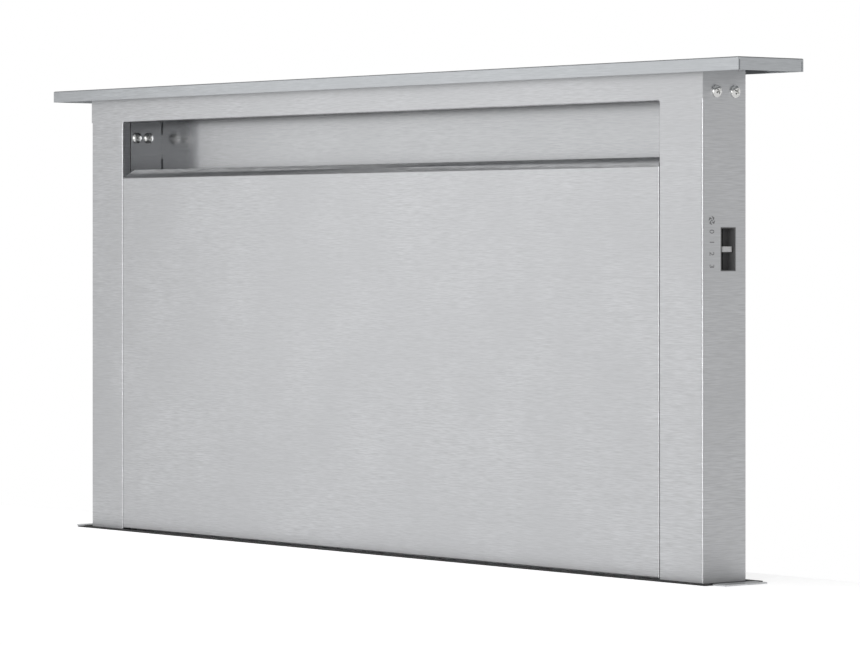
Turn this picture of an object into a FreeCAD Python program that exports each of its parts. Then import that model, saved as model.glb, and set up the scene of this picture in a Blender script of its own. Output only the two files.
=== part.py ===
import FreeCAD
import Part
import Sketcher
import math
import os

# Downdraft vent: a lift-up extractor that rises out of a slot in the worktop.
# The frame has its origin in the worktop's plane, midway along the slot and midway through it.
# +X runs along the worktop to the right, +Y points away from the cook, +Z points up.
# The riser is drawn fully raised. All sizes are in millimetres.

SIZES = {
    # the riser, the part that comes up out of the worktop
    "riser_width": 817.0,
    "riser_depth": 44.0,
    "riser_top": 386.0,
    "riser_below": 100.0,
    "skin": 1.2,
    "bend": 2.0,
    "fold": 1.0,
    "stile": 49.0,
    "rail": 20.0,
    "return_depth": 8.3,
    "back_flange": 8.0,
    # the cap, a tray whose rims hang down over the riser's top
    "cap_overhang": 48.5,
    "cap_front": 9.0,
    "cap_back": 14.0,
    "cap_rim": 10.0,
    "cap_skin": 1.2,
    "cap_slit": 0.6,
    # the front panel and the slot above it
    "slot_height": 43.0,
    "lip": 7.5,
    "panel_gap": 0.5,
    "panel_foot": 1.6,
    "panel_flange": 6.6,
    "sill_edge": 0.5,
    "slot_corner": 2.0,
    "pin_radius": 1.5,
    "pin_head": 2.2,
    "pin_inset": 3.7,
    "pin_height": 6.0,
    "catch_width": 12.0,
    "catch_depth": 4.4,
    "catch_height": 20.0,
    "catch_top": 279.0,
    # the columns at each end of the riser, and the brackets that tie them to the cap
    "column_gap": 0.7,
    "column_flange": 13.0,
    "corner_notch": 1.4,
    "bracket": 2.0,
    "bracket_front": 11.5,
    "bracket_back": 13.0,
    "bracket_leg": 32.0,
    "column_leg": 52.0,
    # pan-head screws
    "screw_radius": 2.5,
    "screw_head": 4.75,
    "screw_rise": 2.6,
    "screw_reach": 8.0,
    "short_reach": 4.5,
    "cap_screw_drop": 14.2,
    "cap_screw_front": 8.0,
    "cap_screw_back": 11.0,
    "column_screw_drop": 34.0,
    "column_screw_pitch": 12.8,
    # running and sliding clearances
    "running": 0.05,
    "play": 0.3,
    "passing": 1.0,
    # the speed slider in the right side
    "slider_front": 3.7,
    "slider_width": 15.5,
    "slider_middle": 252.5,
    "slider_length": 33.3,
    "slider_travel": 13.0,
    "bezel_wall": 0.8,
    "bezel_lip": 2.0,
    "bezel_lip_thick": 1.5,
    "bezel_depth": 8.5,
    "knob_thick": 4.2,
    "knob_sink": 0.6,
    "knob_round": 4.0,
    "stem": 4.0,
    "switch_depth": 14.0,
    "switch_track": 6.0,
    # filters, the sill they stand in, the baffle above them and the riser's base
    "filter_front": 8.0,
    "filter_thick": 10.0,
    "filter_top": 300.0,
    "filter_frame": 12.0,
    "filter_gap": 2.0,
    "filter_mesh": 2.0,
    "pull_radius": 5.0,
    "pull_rise": 4.0,
    "pull_height": 240.0,
    "sill_drop": 10.0,
    "sill_lip": 6.0,
    "baffle_lip": 12.0,
    "base_thick": 1.5,
    "base_rim": 12.0,
    "base_window": 5.0,
    # the housing below the worktop
    "side_gap": 9.3,
    "face_gap": 5.8,
    "housing_drop": 600.0,
    "housing_flange": 15.0,
    "floor_rim": 10.0,
    "seal_thick": 1.0,
    "seal_front": 8.0,
    "seal_wipe": 0.6,
    "seal_side": 3.2,
    "flange_thick": 1.2,
    "flange_reach": 14.0,
    "flange_depth": 43.2,
    "flange_drop": 40.0,
    "flange_hole": 2.25,
    "flange_hole_reach": 7.0,
    "flange_hole_pitch": 32.0,
    "flange_screw_pitch": 29.0,
    "flange_screw_drop": 25.0,
    "wall_screw_inset": 7.5,
    # the lift
    "travel": 384.5,
    "rail_width": 12.0,
    "rail_thick": 5.8,
    "rail_top": 4.0,
    "shoe_width": 22.0,
    "shoe_height": 28.0,
    "shoe_clear": 0.8,
    "upper_shoe": 36.0,
    "lead_inset": 35.5,
    "lead_radius": 6.0,
    "journal_radius": 5.0,
    "lead_top": 75.0,
    "nut_radius": 9.0,
    "nut_flange": 11.5,
    "nut_flange_thick": 4.0,
    "nut_height": 24.0,
    "bearing_radius": 16.0,
    "bearing_flange": 20.0,
    "bearing_foot": 3.0,
    "bearing_height": 16.0,
    "pulley_radius": 14.0,
    "pulley_flange": 17.0,
    "pulley_flange_thick": 1.2,
    "pulley_drop": 4.0,
    "belt_thick": 1.6,
    "belt_height": 8.0,
    "hanger": 2.0,
    "hanger_inside": 20.0,
    "hanger_foot": 8.0,
    "hanger_height": 20.0,
    "hanger_length": 46.0,
    "gearbox_size": 44.0,
    "gearbox_height": 26.0,
    "gearbox_bore": 16.0,
    "lift_motor_radius": 19.0,
    "lift_motor_height": 50.0,
    "lift_motor_cap": 4.0,
    "limit_switch_front": 13.0,
    "limit_switch_depth": 10.0,
    "limit_switch_height": 20.0,
    "limit_switch_thick": 8.3,
    "striker_front": 15.0,
    "striker_depth": 6.0,
    "striker_height": 13.0,
    "striker_thick": 5.5,
    "striker_lift": 2.0,
    # the blower on the housing's front
    "blower_left": 60.0,
    "blower_drop": 430.0,
    "mount_plate": 1.5,
    "plate_margin": 14.0,
    "scroll_skin": 1.2,
    "scroll_depth": 81.5,
    "scroll_radius": 96.0,
    "scroll_growth": 18.0,
    "tongue_drop": 62.0,
    "tongue_bend": 12.0,
    "outlet_reach": 175.0,
    "inlet_radius": 60.0,
    "inlet_mouth": 64.0,
    "inlet_flange": 72.0,
    "inlet_depth": 10.0,
    "wheel_radius": 82.0,
    "wheel_eye": 66.0,
    "wheel_depth": 62.0,
    "wheel_skin": 1.5,
    "wheel_clear": 1.5,
    "blade_thick": 1.0,
    "blade_bend": 13.0,
    "blade_count": 36,
    "shaft_radius": 4.0,
    "shaft_grip": 35.0,
    "hub_radius": 12.0,
    "hub_length": 20.0,
    "fan_motor_radius": 45.0,
    "fan_motor_depth": 44.0,
    "fan_motor_dome": 8.0,
    # the duct: transition, collar and backdraft damper
    "duct_radius": 75.0,
    "duct_skin": 0.8,
    "duct_clear": 2.0,
    "transition": 70.0,
    "collar": 70.0,
    "collar_flange": 7.0,
    "collar_flange_thick": 1.5,
    "flap_place": 35.0,
    "flap_play": 2.2,
    "flap_thick": 1.0,
    "flap_lift": 15.0,
    "flap_pin": 2.0,
    "flap_pin_length": 146.0,
    "flap_barrel": 3.2,
    "flap_barrel_length": 132.0,
    "flap_stop": 3.0,
    # the control box on the housing's front
    "box_inset": 19.0,
    "box_width": 160.0,
    "box_drop": 230.0,
    "box_height": 150.0,
    "box_depth": 60.0,
    "board_inset": 8.0,
    "board_stand": 8.0,
    "board_thick": 1.6,
    "post_radius": 3.0,
    "gland_radius": 8.0,
    "gland_bore": 4.0,
    "gland_flange": 11.0,
    "gland_nut": 11.0,
    "gland_inside": 4.8,
    "gland_inset": 22.0,
    # the legs
    "leg_thick": 2.5,
    "leg_top": 540.0,
    "leg_head": 24.0,
    "leg_knee": 640.0,
    "leg_drop": 730.0,
    "leg_front": 200.0,
    "leg_back": 60.0,
    "leg_heel": 15.0,
    "leg_screw_pitch": 24.0,
    "leg_screw_drop": 20.0,
    "foot": 25.0,
    "foot_hole": 4.0,
    "foot_hole_reach": 15.0,
    "foot_hole_inset": 20.0,
}

document = FreeCAD.newDocument("DowndraftVent")
sheet = document.addObject("Spreadsheet::Sheet", "Sizes")
for row, (alias, number) in enumerate(SIZES.items(), start=1):
    sheet.set(f"A{row}", alias)
    sheet.set(f"B{row}", str(number))
    sheet.setAlias(f"B{row}", alias)
document.recompute()


class Length:
    """A length that knows its number and the sheet formula that the number comes from."""

    def __init__(self, number, formula=None):
        self.number = float(number)
        self.formula = formula or f"({self.number})"

    def __add__(self, other):
        other = as_length(other)
        return Length(self.number + other.number, f"({self.formula} + {other.formula})")

    def __sub__(self, other):
        other = as_length(other)
        return Length(self.number - other.number, f"({self.formula} - {other.formula})")

    def __mul__(self, factor):
        factor = as_length(factor)
        return Length(self.number * factor.number, f"({self.formula} * {factor.formula})")

    def __truediv__(self, factor):
        factor = as_length(factor)
        return Length(self.number / factor.number, f"({self.formula} / {factor.formula})")

    def __radd__(self, other):
        return as_length(other) + self

    def __rsub__(self, other):
        return as_length(other) - self

    def __neg__(self):
        return Length(-self.number, f"(0 - {self.formula})")


def as_length(value):
    return value if isinstance(value, Length) else Length(value)


class Named:
    """Gives each cell of the sheet as a Length, by its name."""

    def __getattr__(self, alias):
        return Length(SIZES[alias], f"Sizes.{alias}")


size = Named()
ZERO = Length(0)
PAST = Length(1)  # how far a cut runs past the face that it opens
PLANES = {"XY": ("XY_Plane", 1), "XZ": ("XZ_Plane", -1), "YZ": ("YZ_Plane", 1)}
TURNS = {
    "x": FreeCAD.Rotation(FreeCAD.Vector(0, 1, 0), 90),
    "y": FreeCAD.Rotation(FreeCAD.Vector(1, 0, 0), -90),
    "z": FreeCAD.Rotation(),
}
SIDES = (("left", -1), ("right", 1))
nodes = []


def node(shape, label):
    """Names a finished sub-part; its label is also its file's name."""
    shape.Label = label
    nodes.append(shape)
    return shape


def place(shape, x, y, z):
    for axis, value in (("x", x), ("y", y), ("z", z)):
        shape.setExpression(f"Placement.Base.{axis}", as_length(value).formula)


def across(side, low, high):
    """A span in X on the right, side 1, or mirrored to the left, side -1."""
    return (low, high) if side > 0 else (-high, -low)


def about(middle, width):
    return (middle - width / 2, middle + width / 2)


def box(name, x, y, z):
    shape = document.addObject("Part::Box", name)
    for prop, span in (("Length", x), ("Width", y), ("Height", z)):
        shape.setExpression(prop, (span[1] - span[0]).formula)
    place(shape, x[0], y[0], z[0])
    return shape


def bar(name, axis, middle, span, radius, end_radius=None):
    """A round bar along an axis, tapered where end_radius is given; middle is its other two coordinates."""
    shape = document.addObject("Part::Cone" if end_radius else "Part::Cylinder", name)
    shape.Placement = FreeCAD.Placement(FreeCAD.Vector(), TURNS[axis])
    if end_radius:
        shape.setExpression("Radius1", as_length(radius).formula)
        shape.setExpression("Radius2", as_length(end_radius).formula)
    else:
        shape.setExpression("Radius", as_length(radius).formula)
    shape.setExpression("Height", (span[1] - span[0]).formula)
    spot = list(middle)
    spot.insert("xyz".index(axis), span[0])
    place(shape, *spot)
    return shape


def fuse(name, *parts):
    shape = document.addObject("Part::MultiFuse", name)
    shape.Shapes = list(parts)
    return shape


def cut(name, base, *tools):
    shape = document.addObject("Part::Cut", name)
    shape.Base = base
    shape.Tool = tools[0] if len(tools) == 1 else fuse(name + "_tools", *tools)
    return shape


def group(name, *solids):
    """Several separate solids of one kind under one name."""
    shape = document.addObject("Part::Compound", name)
    shape.Links = list(solids)
    return node(shape, name)


def rectangle(u, v, radius=None):
    corners = [(u[0], v[0]), (u[1], v[0]), (u[1], v[1]), (u[0], v[1])]
    return corners if radius is None else [(a, b, radius) for a, b in corners]


def circle(u, v, radius):
    return ("circle", u, v, radius)


def ring(centre, radius):
    """A circle as four arcs, to loft onto the four sides of a rectangle."""
    return ("ring", centre[0], centre[1], radius)


def arc(u, v, radius, start, end):
    """An arc of an outline about (u, v), from one quarter turn to another, anticlockwise if end > start."""
    return ("arc", u, v, radius, start, end)


def mirrored(side, outline):
    return [(corner[0] * side, *corner[1:]) for corner in outline]


def step(start, end):
    """The unit step from one corner to the next, where that run is square to the axes."""
    du = end[0].number - start[0].number
    dv = end[1].number - start[1].number
    return (math.copysign(1, du), 0) if abs(du) > abs(dv) else (0, math.copysign(1, dv))


def moved(spot, direction, distance):
    """A point moved by a distance along a unit step."""
    result = []
    for value, way in zip(spot, direction):
        result.append(value if way == 0 else value + distance if way > 0 else value - distance)
    return tuple(result)


def vector(spot):
    return FreeCAD.Vector(spot[0].number, spot[1].number, 0)


class Drawing:
    """Draws outlines in a sketch, each fully dimensioned from the sketch's origin."""

    def __init__(self, sketch):
        self.sketch = sketch
        self.constraints = []
        self.formulas = []

    def bind(self, kind, geometry, point, value):
        if kind == "Radius":
            self.constraints.append(Sketcher.Constraint(kind, geometry, value.number))
        else:
            self.constraints.append(Sketcher.Constraint(kind, -1, 1, geometry, point, value.number))
        self.formulas.append(value.formula)

    def bind_point(self, geometry, point, spot):
        self.bind("DistanceX", geometry, point, spot[0])
        self.bind("DistanceY", geometry, point, spot[1])

    def add_circle(self, centre, radius):
        geometry = self.sketch.addGeometry(Part.Circle(vector(centre), FreeCAD.Vector(0, 0, 1), radius.number))
        self.bind_point(geometry, 3, centre)
        self.bind("Radius", geometry, 0, radius)

    def add_line(self, start, end):
        if (vector(end) - vector(start)).Length < 1e-6:
            return
        geometry = self.sketch.addGeometry(Part.LineSegment(vector(start), vector(end)))
        self.bind_point(geometry, 1, start)
        self.bind_point(geometry, 2, end)

    def add_arc_between(self, centre, radius, start, end):
        """An arc between two angles in radians, still free to grow or shrink at both ends."""
        whole = Part.Circle(vector(centre), FreeCAD.Vector(0, 0, 1), radius.number)
        geometry = self.sketch.addGeometry(Part.ArcOfCircle(whole, start, end))
        self.bind_point(geometry, 3, centre)
        self.bind("Radius", geometry, 0, radius)
        return geometry

    def add_arc(self, centre, radius, first, last):
        """An arc, anticlockwise from first to last, both of which lie square to the centre."""
        angles = []
        for end in (first, last):
            offset = vector(end) - vector(centre)
            angles.append(math.atan2(offset.y, offset.x))
        geometry = self.add_arc_between(centre, radius, *angles)
        for point, end in ((1, first), (2, last)):
            offset = vector(end) - vector(centre)
            level = abs(offset.x) > abs(offset.y)
            self.bind("DistanceY" if level else "DistanceX", geometry, point, centre[1 if level else 0])

    def add_ring(self, centre, radius):
        """A circle as four arcs that meet on its diagonals."""
        reach = radius * 0.70711
        for turn in range(4):
            start = math.radians(225 + 90 * turn)
            geometry = self.add_arc_between(centre, radius, start, start + math.pi / 2)
            for point, angle in ((1, start), (2, start + math.pi / 2)):
                self.bind("DistanceX", geometry, point, centre[0] + reach * math.copysign(1, math.cos(angle)))

    def add_outline(self, corners):
        arrivals = []
        leavings = []
        for index, corner in enumerate(corners):
            if corner[0] == "arc":
                centre = (as_length(corner[1]), as_length(corner[2]))
                radius, start, end = as_length(corner[3]), corner[4], corner[5]
                ends = []
                for quarter in (start, end):
                    way = (round(math.cos(quarter * math.pi / 2)), round(math.sin(quarter * math.pi / 2)))
                    ends.append(moved(centre, way, radius))
                self.add_arc(centre, radius, *(ends if end > start else ends[::-1]))
                arrivals.append(ends[0])
                leavings.append(ends[1])
                continue
            spot = (as_length(corner[0]), as_length(corner[1]))
            if len(corner) == 2:
                arrivals.append(spot)
                leavings.append(spot)
                continue
            radius = as_length(corner[2])
            before = corners[index - 1]
            after = corners[(index + 1) % len(corners)]
            back = step(spot, (as_length(before[0]), as_length(before[1])))
            ahead = step(spot, (as_length(after[0]), as_length(after[1])))
            arrive = moved(spot, back, radius)
            leave = moved(spot, ahead, radius)
            centre = moved(arrive, ahead, radius)
            turns_left = back[1] * ahead[0] - back[0] * ahead[1] > 0
            self.add_arc(centre, radius, *((arrive, leave) if turns_left else (leave, arrive)))
            arrivals.append(arrive)
            leavings.append(leave)
        for index, start in enumerate(leavings):
            self.add_line(start, arrivals[(index + 1) % len(corners)])

    def finish(self):
        self.sketch.addConstraint(self.constraints)
        for row, formula in enumerate(self.formulas):
            self.sketch.setExpression(f"Constraints[{row}]", formula)


class Sheetwork:
    """A body made of pads, pockets and folds whose outlines are bound to the sheet."""

    def __init__(self, label):
        self.body = document.addObject("PartDesign::Body", label + "_body")
        self.label = label
        self.count = 0

    def sketch(self, plane, level, outlines):
        self.count += 1
        sketch = self.body.newObject("Sketcher::SketchObject", f"{self.label}_sketch_{self.count}")
        role, sign = PLANES[plane]
        origin_plane = [face for face in self.body.Origin.OriginFeatures if face.Role == role][0]
        sketch.AttachmentSupport = (origin_plane, "")
        sketch.MapMode = "FlatFace"
        sketch.setExpression("AttachmentOffset.Base.z", (as_length(level) * sign).formula)
        drawing = Drawing(sketch)
        for outline in outlines:
            if outline[0] == "circle":
                drawing.add_circle((as_length(outline[1]), as_length(outline[2])), as_length(outline[3]))
            elif outline[0] == "ring":
                drawing.add_ring((as_length(outline[1]), as_length(outline[2])), as_length(outline[3]))
            else:
                drawing.add_outline(outline)
        drawing.finish()
        return sketch

    def feature(self, kind, sketch):
        feature = self.body.newObject(f"PartDesign::{kind}", f"{self.label}_{kind}_{self.count}")
        feature.Profile = sketch
        return feature

    def pad(self, plane, span, *outlines):
        sketch = self.sketch(plane, span[1] if plane == "XZ" else span[0], outlines)
        feature = self.feature("Pad", sketch)
        feature.setExpression("Length", (span[1] - span[0]).formula)
        return feature

    def pocket(self, plane, span, *outlines):
        document.recompute()
        before = self.body.Shape.Volume
        sketch = self.sketch(plane, span[0] if plane == "XZ" else span[1], outlines)
        feature = self.feature("Pocket", sketch)
        feature.setExpression("Length", (span[1] - span[0]).formula)
        document.recompute()
        if not self.body.Shape.Volume < before:
            raise ValueError(f"a pocket of {self.label} cuts nothing")
        return feature

    def loft(self, kind, plane, levels_and_outlines):
        sections = [self.sketch(plane, level, [outline]) for level, outline in levels_and_outlines]
        feature = self.feature(kind, sections[0])
        feature.Sections = sections[1:]
        feature.Ruled = True
        return feature

    def fold(self, radius, chosen):
        """Rounds the edges for which chosen(edge) is true, as a press brake leaves a fold."""
        document.recompute()
        base = self.body.Tip
        names = [f"Edge{i}" for i, edge in enumerate(base.Shape.Edges, start=1) if chosen(edge)]
        feature = self.body.newObject("PartDesign::Fillet", f"{self.label}_fold_{self.count}")
        feature.Base = (base, names)
        feature.setExpression("Radius", radius.formula)
        document.recompute()
        if feature.Shape.isNull() or "Invalid" in feature.State:
            raise ValueError(f"a fold of {self.label} fails")
        return feature

    def done(self):
        return node(self.body, self.label)


def lies_at(edge, **places):
    """Whether a straight edge lies at the given coordinates, such as x=12.0, over its whole length."""
    ends = [edge.valueAt(edge.FirstParameter), edge.valueAt(edge.LastParameter)]
    for axis, value in places.items():
        number = value.number if isinstance(value, Length) else value
        if any(abs(abs(getattr(end, axis)) - abs(number)) > 1e-4 for end in ends):
            return False
        if any(getattr(end, axis) * number < 0 for end in ends) and axis != "x":
            return False
    return True


def screw(name, axis, middle, seat, outward, reach=None):
    """A pan-head screw: its head stands on the seat, outward of it, and its shank runs the other way."""
    reach = reach or size.screw_reach
    brim = size.screw_rise * 0.55
    crown = size.screw_head * 0.7
    if outward > 0:
        spans = ((seat - reach, seat), (seat, seat + brim), (seat + brim, seat + size.screw_rise))
        radii = (size.screw_head, crown)
    else:
        spans = ((seat, seat + reach), (seat - brim, seat), (seat - size.screw_rise, seat - brim))
        radii = (crown, size.screw_head)
    return fuse(
        name,
        bar(name + "_shank", axis, middle, spans[0], size.screw_radius),
        bar(name + "_brim", axis, middle, spans[1], size.screw_head),
        bar(name + "_crown", axis, middle, spans[2], *radii),
    )


# ---------------------------------------------------------------- planes that several pieces share
half_width = size.riser_width / 2
half_depth = size.riser_depth / 2
front_inside = -half_depth + size.skin
back_inside = half_depth - size.skin
side_inside = half_width - size.skin
riser_foot = -size.riser_below
cap_top = size.riser_top + size.cap_rim
cap_seat = cap_top - size.cap_skin
slot_top = size.riser_top - size.rail
panel_top = slot_top - size.slot_height
opening = half_width - size.stile
column_face = opening + size.skin
screw_hole = size.screw_radius + size.running
inner_fold = size.bend - size.skin
lead_place = half_width - size.lead_inset
base_top = riser_foot + size.base_thick
base_window = opening - size.base_window

housing_side = half_width + size.side_gap
housing_side_out = housing_side + size.skin
housing_face = half_depth + size.face_gap
housing_face_out = housing_face + size.skin
housing_foot = -size.housing_drop
wall_screw_heights = [-size.housing_drop * share for share in (0.05, 0.35, 0.65, 0.95)]
wall_screw_place = housing_side_out - size.wall_screw_inset
leg_screw_height = -size.leg_top - size.leg_screw_drop

pin_spot = (-half_depth + size.pin_inset, size.pin_height)
cap_screw_height = size.riser_top - size.cap_screw_drop
cap_screw_places = (-size.cap_screw_front, size.cap_screw_back)
column_screw_height = size.riser_top - size.column_screw_drop
column_screw_places = about(ZERO, size.column_screw_pitch)

slider_y = (-size.slider_front, size.slider_width - size.slider_front)
slider_z = about(size.slider_middle, size.slider_length)


def inset(span, distance):
    return (span[0] + distance, span[1] - distance)


# ---------------------------------------------------------------- riser: shell folded from one sheet
def edges_opening(edge):
    """Whether an edge runs up beside the panel's opening or along its top."""
    middle = edge.valueAt((edge.FirstParameter + edge.LastParameter) / 2)
    beside = abs(middle.x) < opening.number + 0.01
    return beside and size.sill_edge.number + 1 < middle.z < slot_top.number + 0.01


def riser_shell():
    shell = Sheetwork("riser_shell")
    shell.pad("XY", (riser_foot, slot_top), [
        (-half_width, half_depth), (-half_width, -half_depth, size.bend),
        (half_width, -half_depth, size.bend), (half_width, half_depth),
        (side_inside, half_depth), (side_inside, front_inside, inner_fold),
        (-side_inside, front_inside, inner_fold), (-side_inside, half_depth),
    ])
    shell.pad("XY", (slot_top, cap_seat), [
        (-half_width, half_depth), (-half_width, -half_depth), (half_width, -half_depth),
        (half_width, half_depth), (side_inside, half_depth), (side_inside, front_inside),
        (-side_inside, front_inside), (-side_inside, half_depth),
    ])
    corner = size.slot_corner
    shell.pocket("XZ", (-half_depth - PAST, front_inside + inner_fold), [
        (-opening, size.sill_edge), (opening, size.sill_edge),
        (opening, slot_top, corner), (-opening, slot_top, corner),
    ])
    # the sheet turns inward round the opening, up one stile, along the rail and down the other
    rim = slot_top + size.skin
    shell.pad("XZ", (-half_depth, -half_depth + size.return_depth), [
        (-column_face, size.sill_edge), (-column_face, rim, corner + size.skin),
        (column_face, rim, corner + size.skin), (column_face, size.sill_edge), (opening, size.sill_edge),
        (opening, slot_top, corner), (-opening, slot_top, corner), (-opening, size.sill_edge),
    ])
    shell.fold(size.fold, lambda edge: lies_at(edge, y=-half_depth) and edges_opening(edge))
    shell.pocket("YZ", (opening - PAST, column_face + PAST), circle(*pin_spot, size.pin_radius + size.running))
    shell.pocket("YZ", (-column_face - PAST, PAST - opening), circle(*pin_spot, size.pin_radius + size.running))
    for _, side in SIDES:
        shell.pocket("YZ", across(side, side_inside - PAST, half_width + PAST),
                     *[circle(y, cap_screw_height, screw_hole) for y in cap_screw_places])
    shell.pocket("YZ", (side_inside - PAST, half_width + PAST), rectangle(slider_y, slider_z))
    shell.done()


# ---------------------------------------------------------------- riser: back, columns, brackets, cap
def back_panel():
    panel = Sheetwork("back_panel")
    flange_edge = half_depth - size.back_flange
    panel.pad("XY", (riser_foot, cap_seat), [
        (-side_inside, flange_edge), (-side_inside + size.skin, flange_edge),
        (-side_inside + size.skin, back_inside, inner_fold), (side_inside - size.skin, back_inside, inner_fold),
        (side_inside - size.skin, flange_edge), (side_inside, flange_edge),
        (side_inside, half_depth, size.bend), (-side_inside, half_depth, size.bend),
    ])
    panel.done()


def column_wall(name, side):
    """The column's inner wall, flush behind the stile's return, with a flange at its front and back edges."""
    wall = Sheetwork(name)
    front = -half_depth + size.return_depth + size.column_gap
    wall.pad("XY", (base_top, cap_seat), mirrored(side, [
        (opening, front), (opening + size.column_flange, front),
        (opening + size.column_flange, front + size.skin), (column_face, front + size.skin),
        (column_face, back_inside - size.skin), (opening + size.column_flange, back_inside - size.skin),
        (opening + size.column_flange, back_inside), (opening, back_inside),
    ]))
    # the rear edge only meets the back panel along a tab midway up the slot
    third = size.slot_height / 4
    for low in (panel_top, slot_top - third):
        wall.pocket("YZ", across(side, opening - PAST, column_face),
                    rectangle((back_inside - size.corner_notch, back_inside + PAST), (low, low + third)))
    wall.pocket("YZ", across(side, opening - PAST, column_face + PAST),
                *[circle(y, column_screw_height, screw_hole) for y in column_screw_places])
    wall.done()


def cap_bracket(side):
    """An inverted channel: its top lies under the cap, one leg on the side, one on the column wall."""
    bracket = Sheetwork("cap_bracket_right" if side > 0 else "cap_bracket_left")
    depth = (-size.bracket_front, size.bracket_back)
    side_leg = cap_seat - size.bracket_leg
    column_leg = cap_seat - size.column_leg
    inner = size.fold
    outer = inner + size.bracket
    bracket.pad("XZ", depth, mirrored(side, [
        (side_inside, side_leg), (side_inside, cap_seat, outer), (column_face, cap_seat, outer),
        (column_face, column_leg), (column_face + size.bracket, column_leg),
        (column_face + size.bracket, cap_seat - size.bracket, inner),
        (side_inside - size.bracket, cap_seat - size.bracket, inner), (side_inside - size.bracket, side_leg),
    ]))
    bracket.pocket("YZ", across(side, side_inside - size.bracket - PAST, side_inside + PAST),
                   *[circle(y, cap_screw_height, screw_hole) for y in cap_screw_places])
    bracket.pocket("YZ", across(side, column_face - PAST, column_face + size.bracket + PAST),
                   *[circle(y, column_screw_height, screw_hole) for y in column_screw_places])
    return bracket.body


def cap():
    tray = Sheetwork("cap")
    half = half_width + size.cap_overhang
    front = -half_depth - size.cap_front
    back = half_depth + size.cap_back
    tray.pad("XY", (size.riser_top, cap_top), rectangle((-half, half), (front, back)))
    tray.fold(size.fold, lambda edge: lies_at(edge, z=cap_top))
    tray.pocket("XY", (size.riser_top - PAST, cap_seat),
                rectangle(inset((-half, half), size.cap_skin), inset((front, back), size.cap_skin)))
    # the rims are folded down apart, so that each corner keeps an open slit
    slits = (
        (front + size.cap_skin, front + size.cap_skin + size.cap_slit),
        (back - size.cap_skin - size.cap_slit, back - size.cap_skin),
    )
    for _, side in SIDES:
        rim_x = across(side, half - size.cap_skin - PAST, half + PAST)
        tray.pocket("XY", (size.riser_top - PAST, cap_seat - size.fold), *[rectangle(rim_x, y) for y in slits])
    tray.done()


def riser_screws():
    """Two through each side into the cap's brackets, and two through each column wall."""
    screws = []
    for name, side in SIDES:
        for row, y in enumerate(cap_screw_places):
            screws.append(screw(f"cap_screw_{name}_{row}", "x", (y, cap_screw_height), half_width * side, side))
        for row, y in enumerate(column_screw_places):
            screws.append(screw(f"column_screw_{name}_{row}", "x", (y, column_screw_height),
                                opening * side, -side, size.short_reach))
    group("riser_screws", *screws)


# ---------------------------------------------------------------- front panel on its two pins
def front_panel():
    panel = Sheetwork("front_panel")
    half = opening - size.panel_gap
    bend_height = panel_top - size.lip
    # how a 45 degree bend moves the corner of the inner face, and the lip's far edge
    inner_shift = size.skin * 0.41421
    edge_shift = size.skin * 0.70711
    lip_edge = -half_depth + size.lip
    panel.pad("YZ", (-half, half), [
        (-half_depth, size.panel_foot), (front_inside, size.panel_foot),
        (front_inside, bend_height - inner_shift), (lip_edge + edge_shift, panel_top - edge_shift),
        (lip_edge, panel_top), (-half_depth, bend_height),
    ])
    flange_y = (-half_depth, front_inside + size.panel_flange)
    for _, side in SIDES:
        panel.pad("XY", (size.panel_foot, bend_height - size.bend),
                  rectangle(across(side, half - size.skin, half), flange_y))
        panel.pocket("YZ", across(side, half - size.skin - PAST, half + PAST),
                     circle(*pin_spot, size.pin_radius + size.running))
    panel.fold(size.fold, lambda edge: lies_at(edge, x=half, y=-half_depth))
    # the lip's ends are cut back at 45 degrees, from nothing at the fold to its own width at its edge
    beyond = size.lip + PAST
    for _, side in SIDES:
        panel.pocket("XY", (bend_height, panel_top + PAST), mirrored(side, [
            (half, -half_depth), (half + PAST, -half_depth),
            (half + PAST, -half_depth + beyond), (half - beyond, -half_depth + beyond),
        ]))
    panel.done()
    pins = []
    for name, side in SIDES:
        shank = across(side, half - size.skin, column_face + PAST)
        head = across(side, half - size.skin * 2, half - size.skin)
        pins.append(fuse(f"panel_pin_{name}",
                         bar(f"panel_pin_{name}_shank", "x", pin_spot, shank, size.pin_radius),
                         bar(f"panel_pin_{name}_head", "x", pin_spot, head, size.pin_head)))
    group("panel_pins", *pins)


def panel_catches():
    """Magnets on the columns that hold the panel's side flanges shut."""
    front = front_inside + size.panel_flange + size.play
    top = size.catch_top
    magnets = [box(f"panel_catch_{name}", across(side, opening - size.catch_width, opening),
                   (front, front + size.catch_depth), (top - size.catch_height, top)) for name, side in SIDES]
    group("panel_catches", *magnets)


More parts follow.
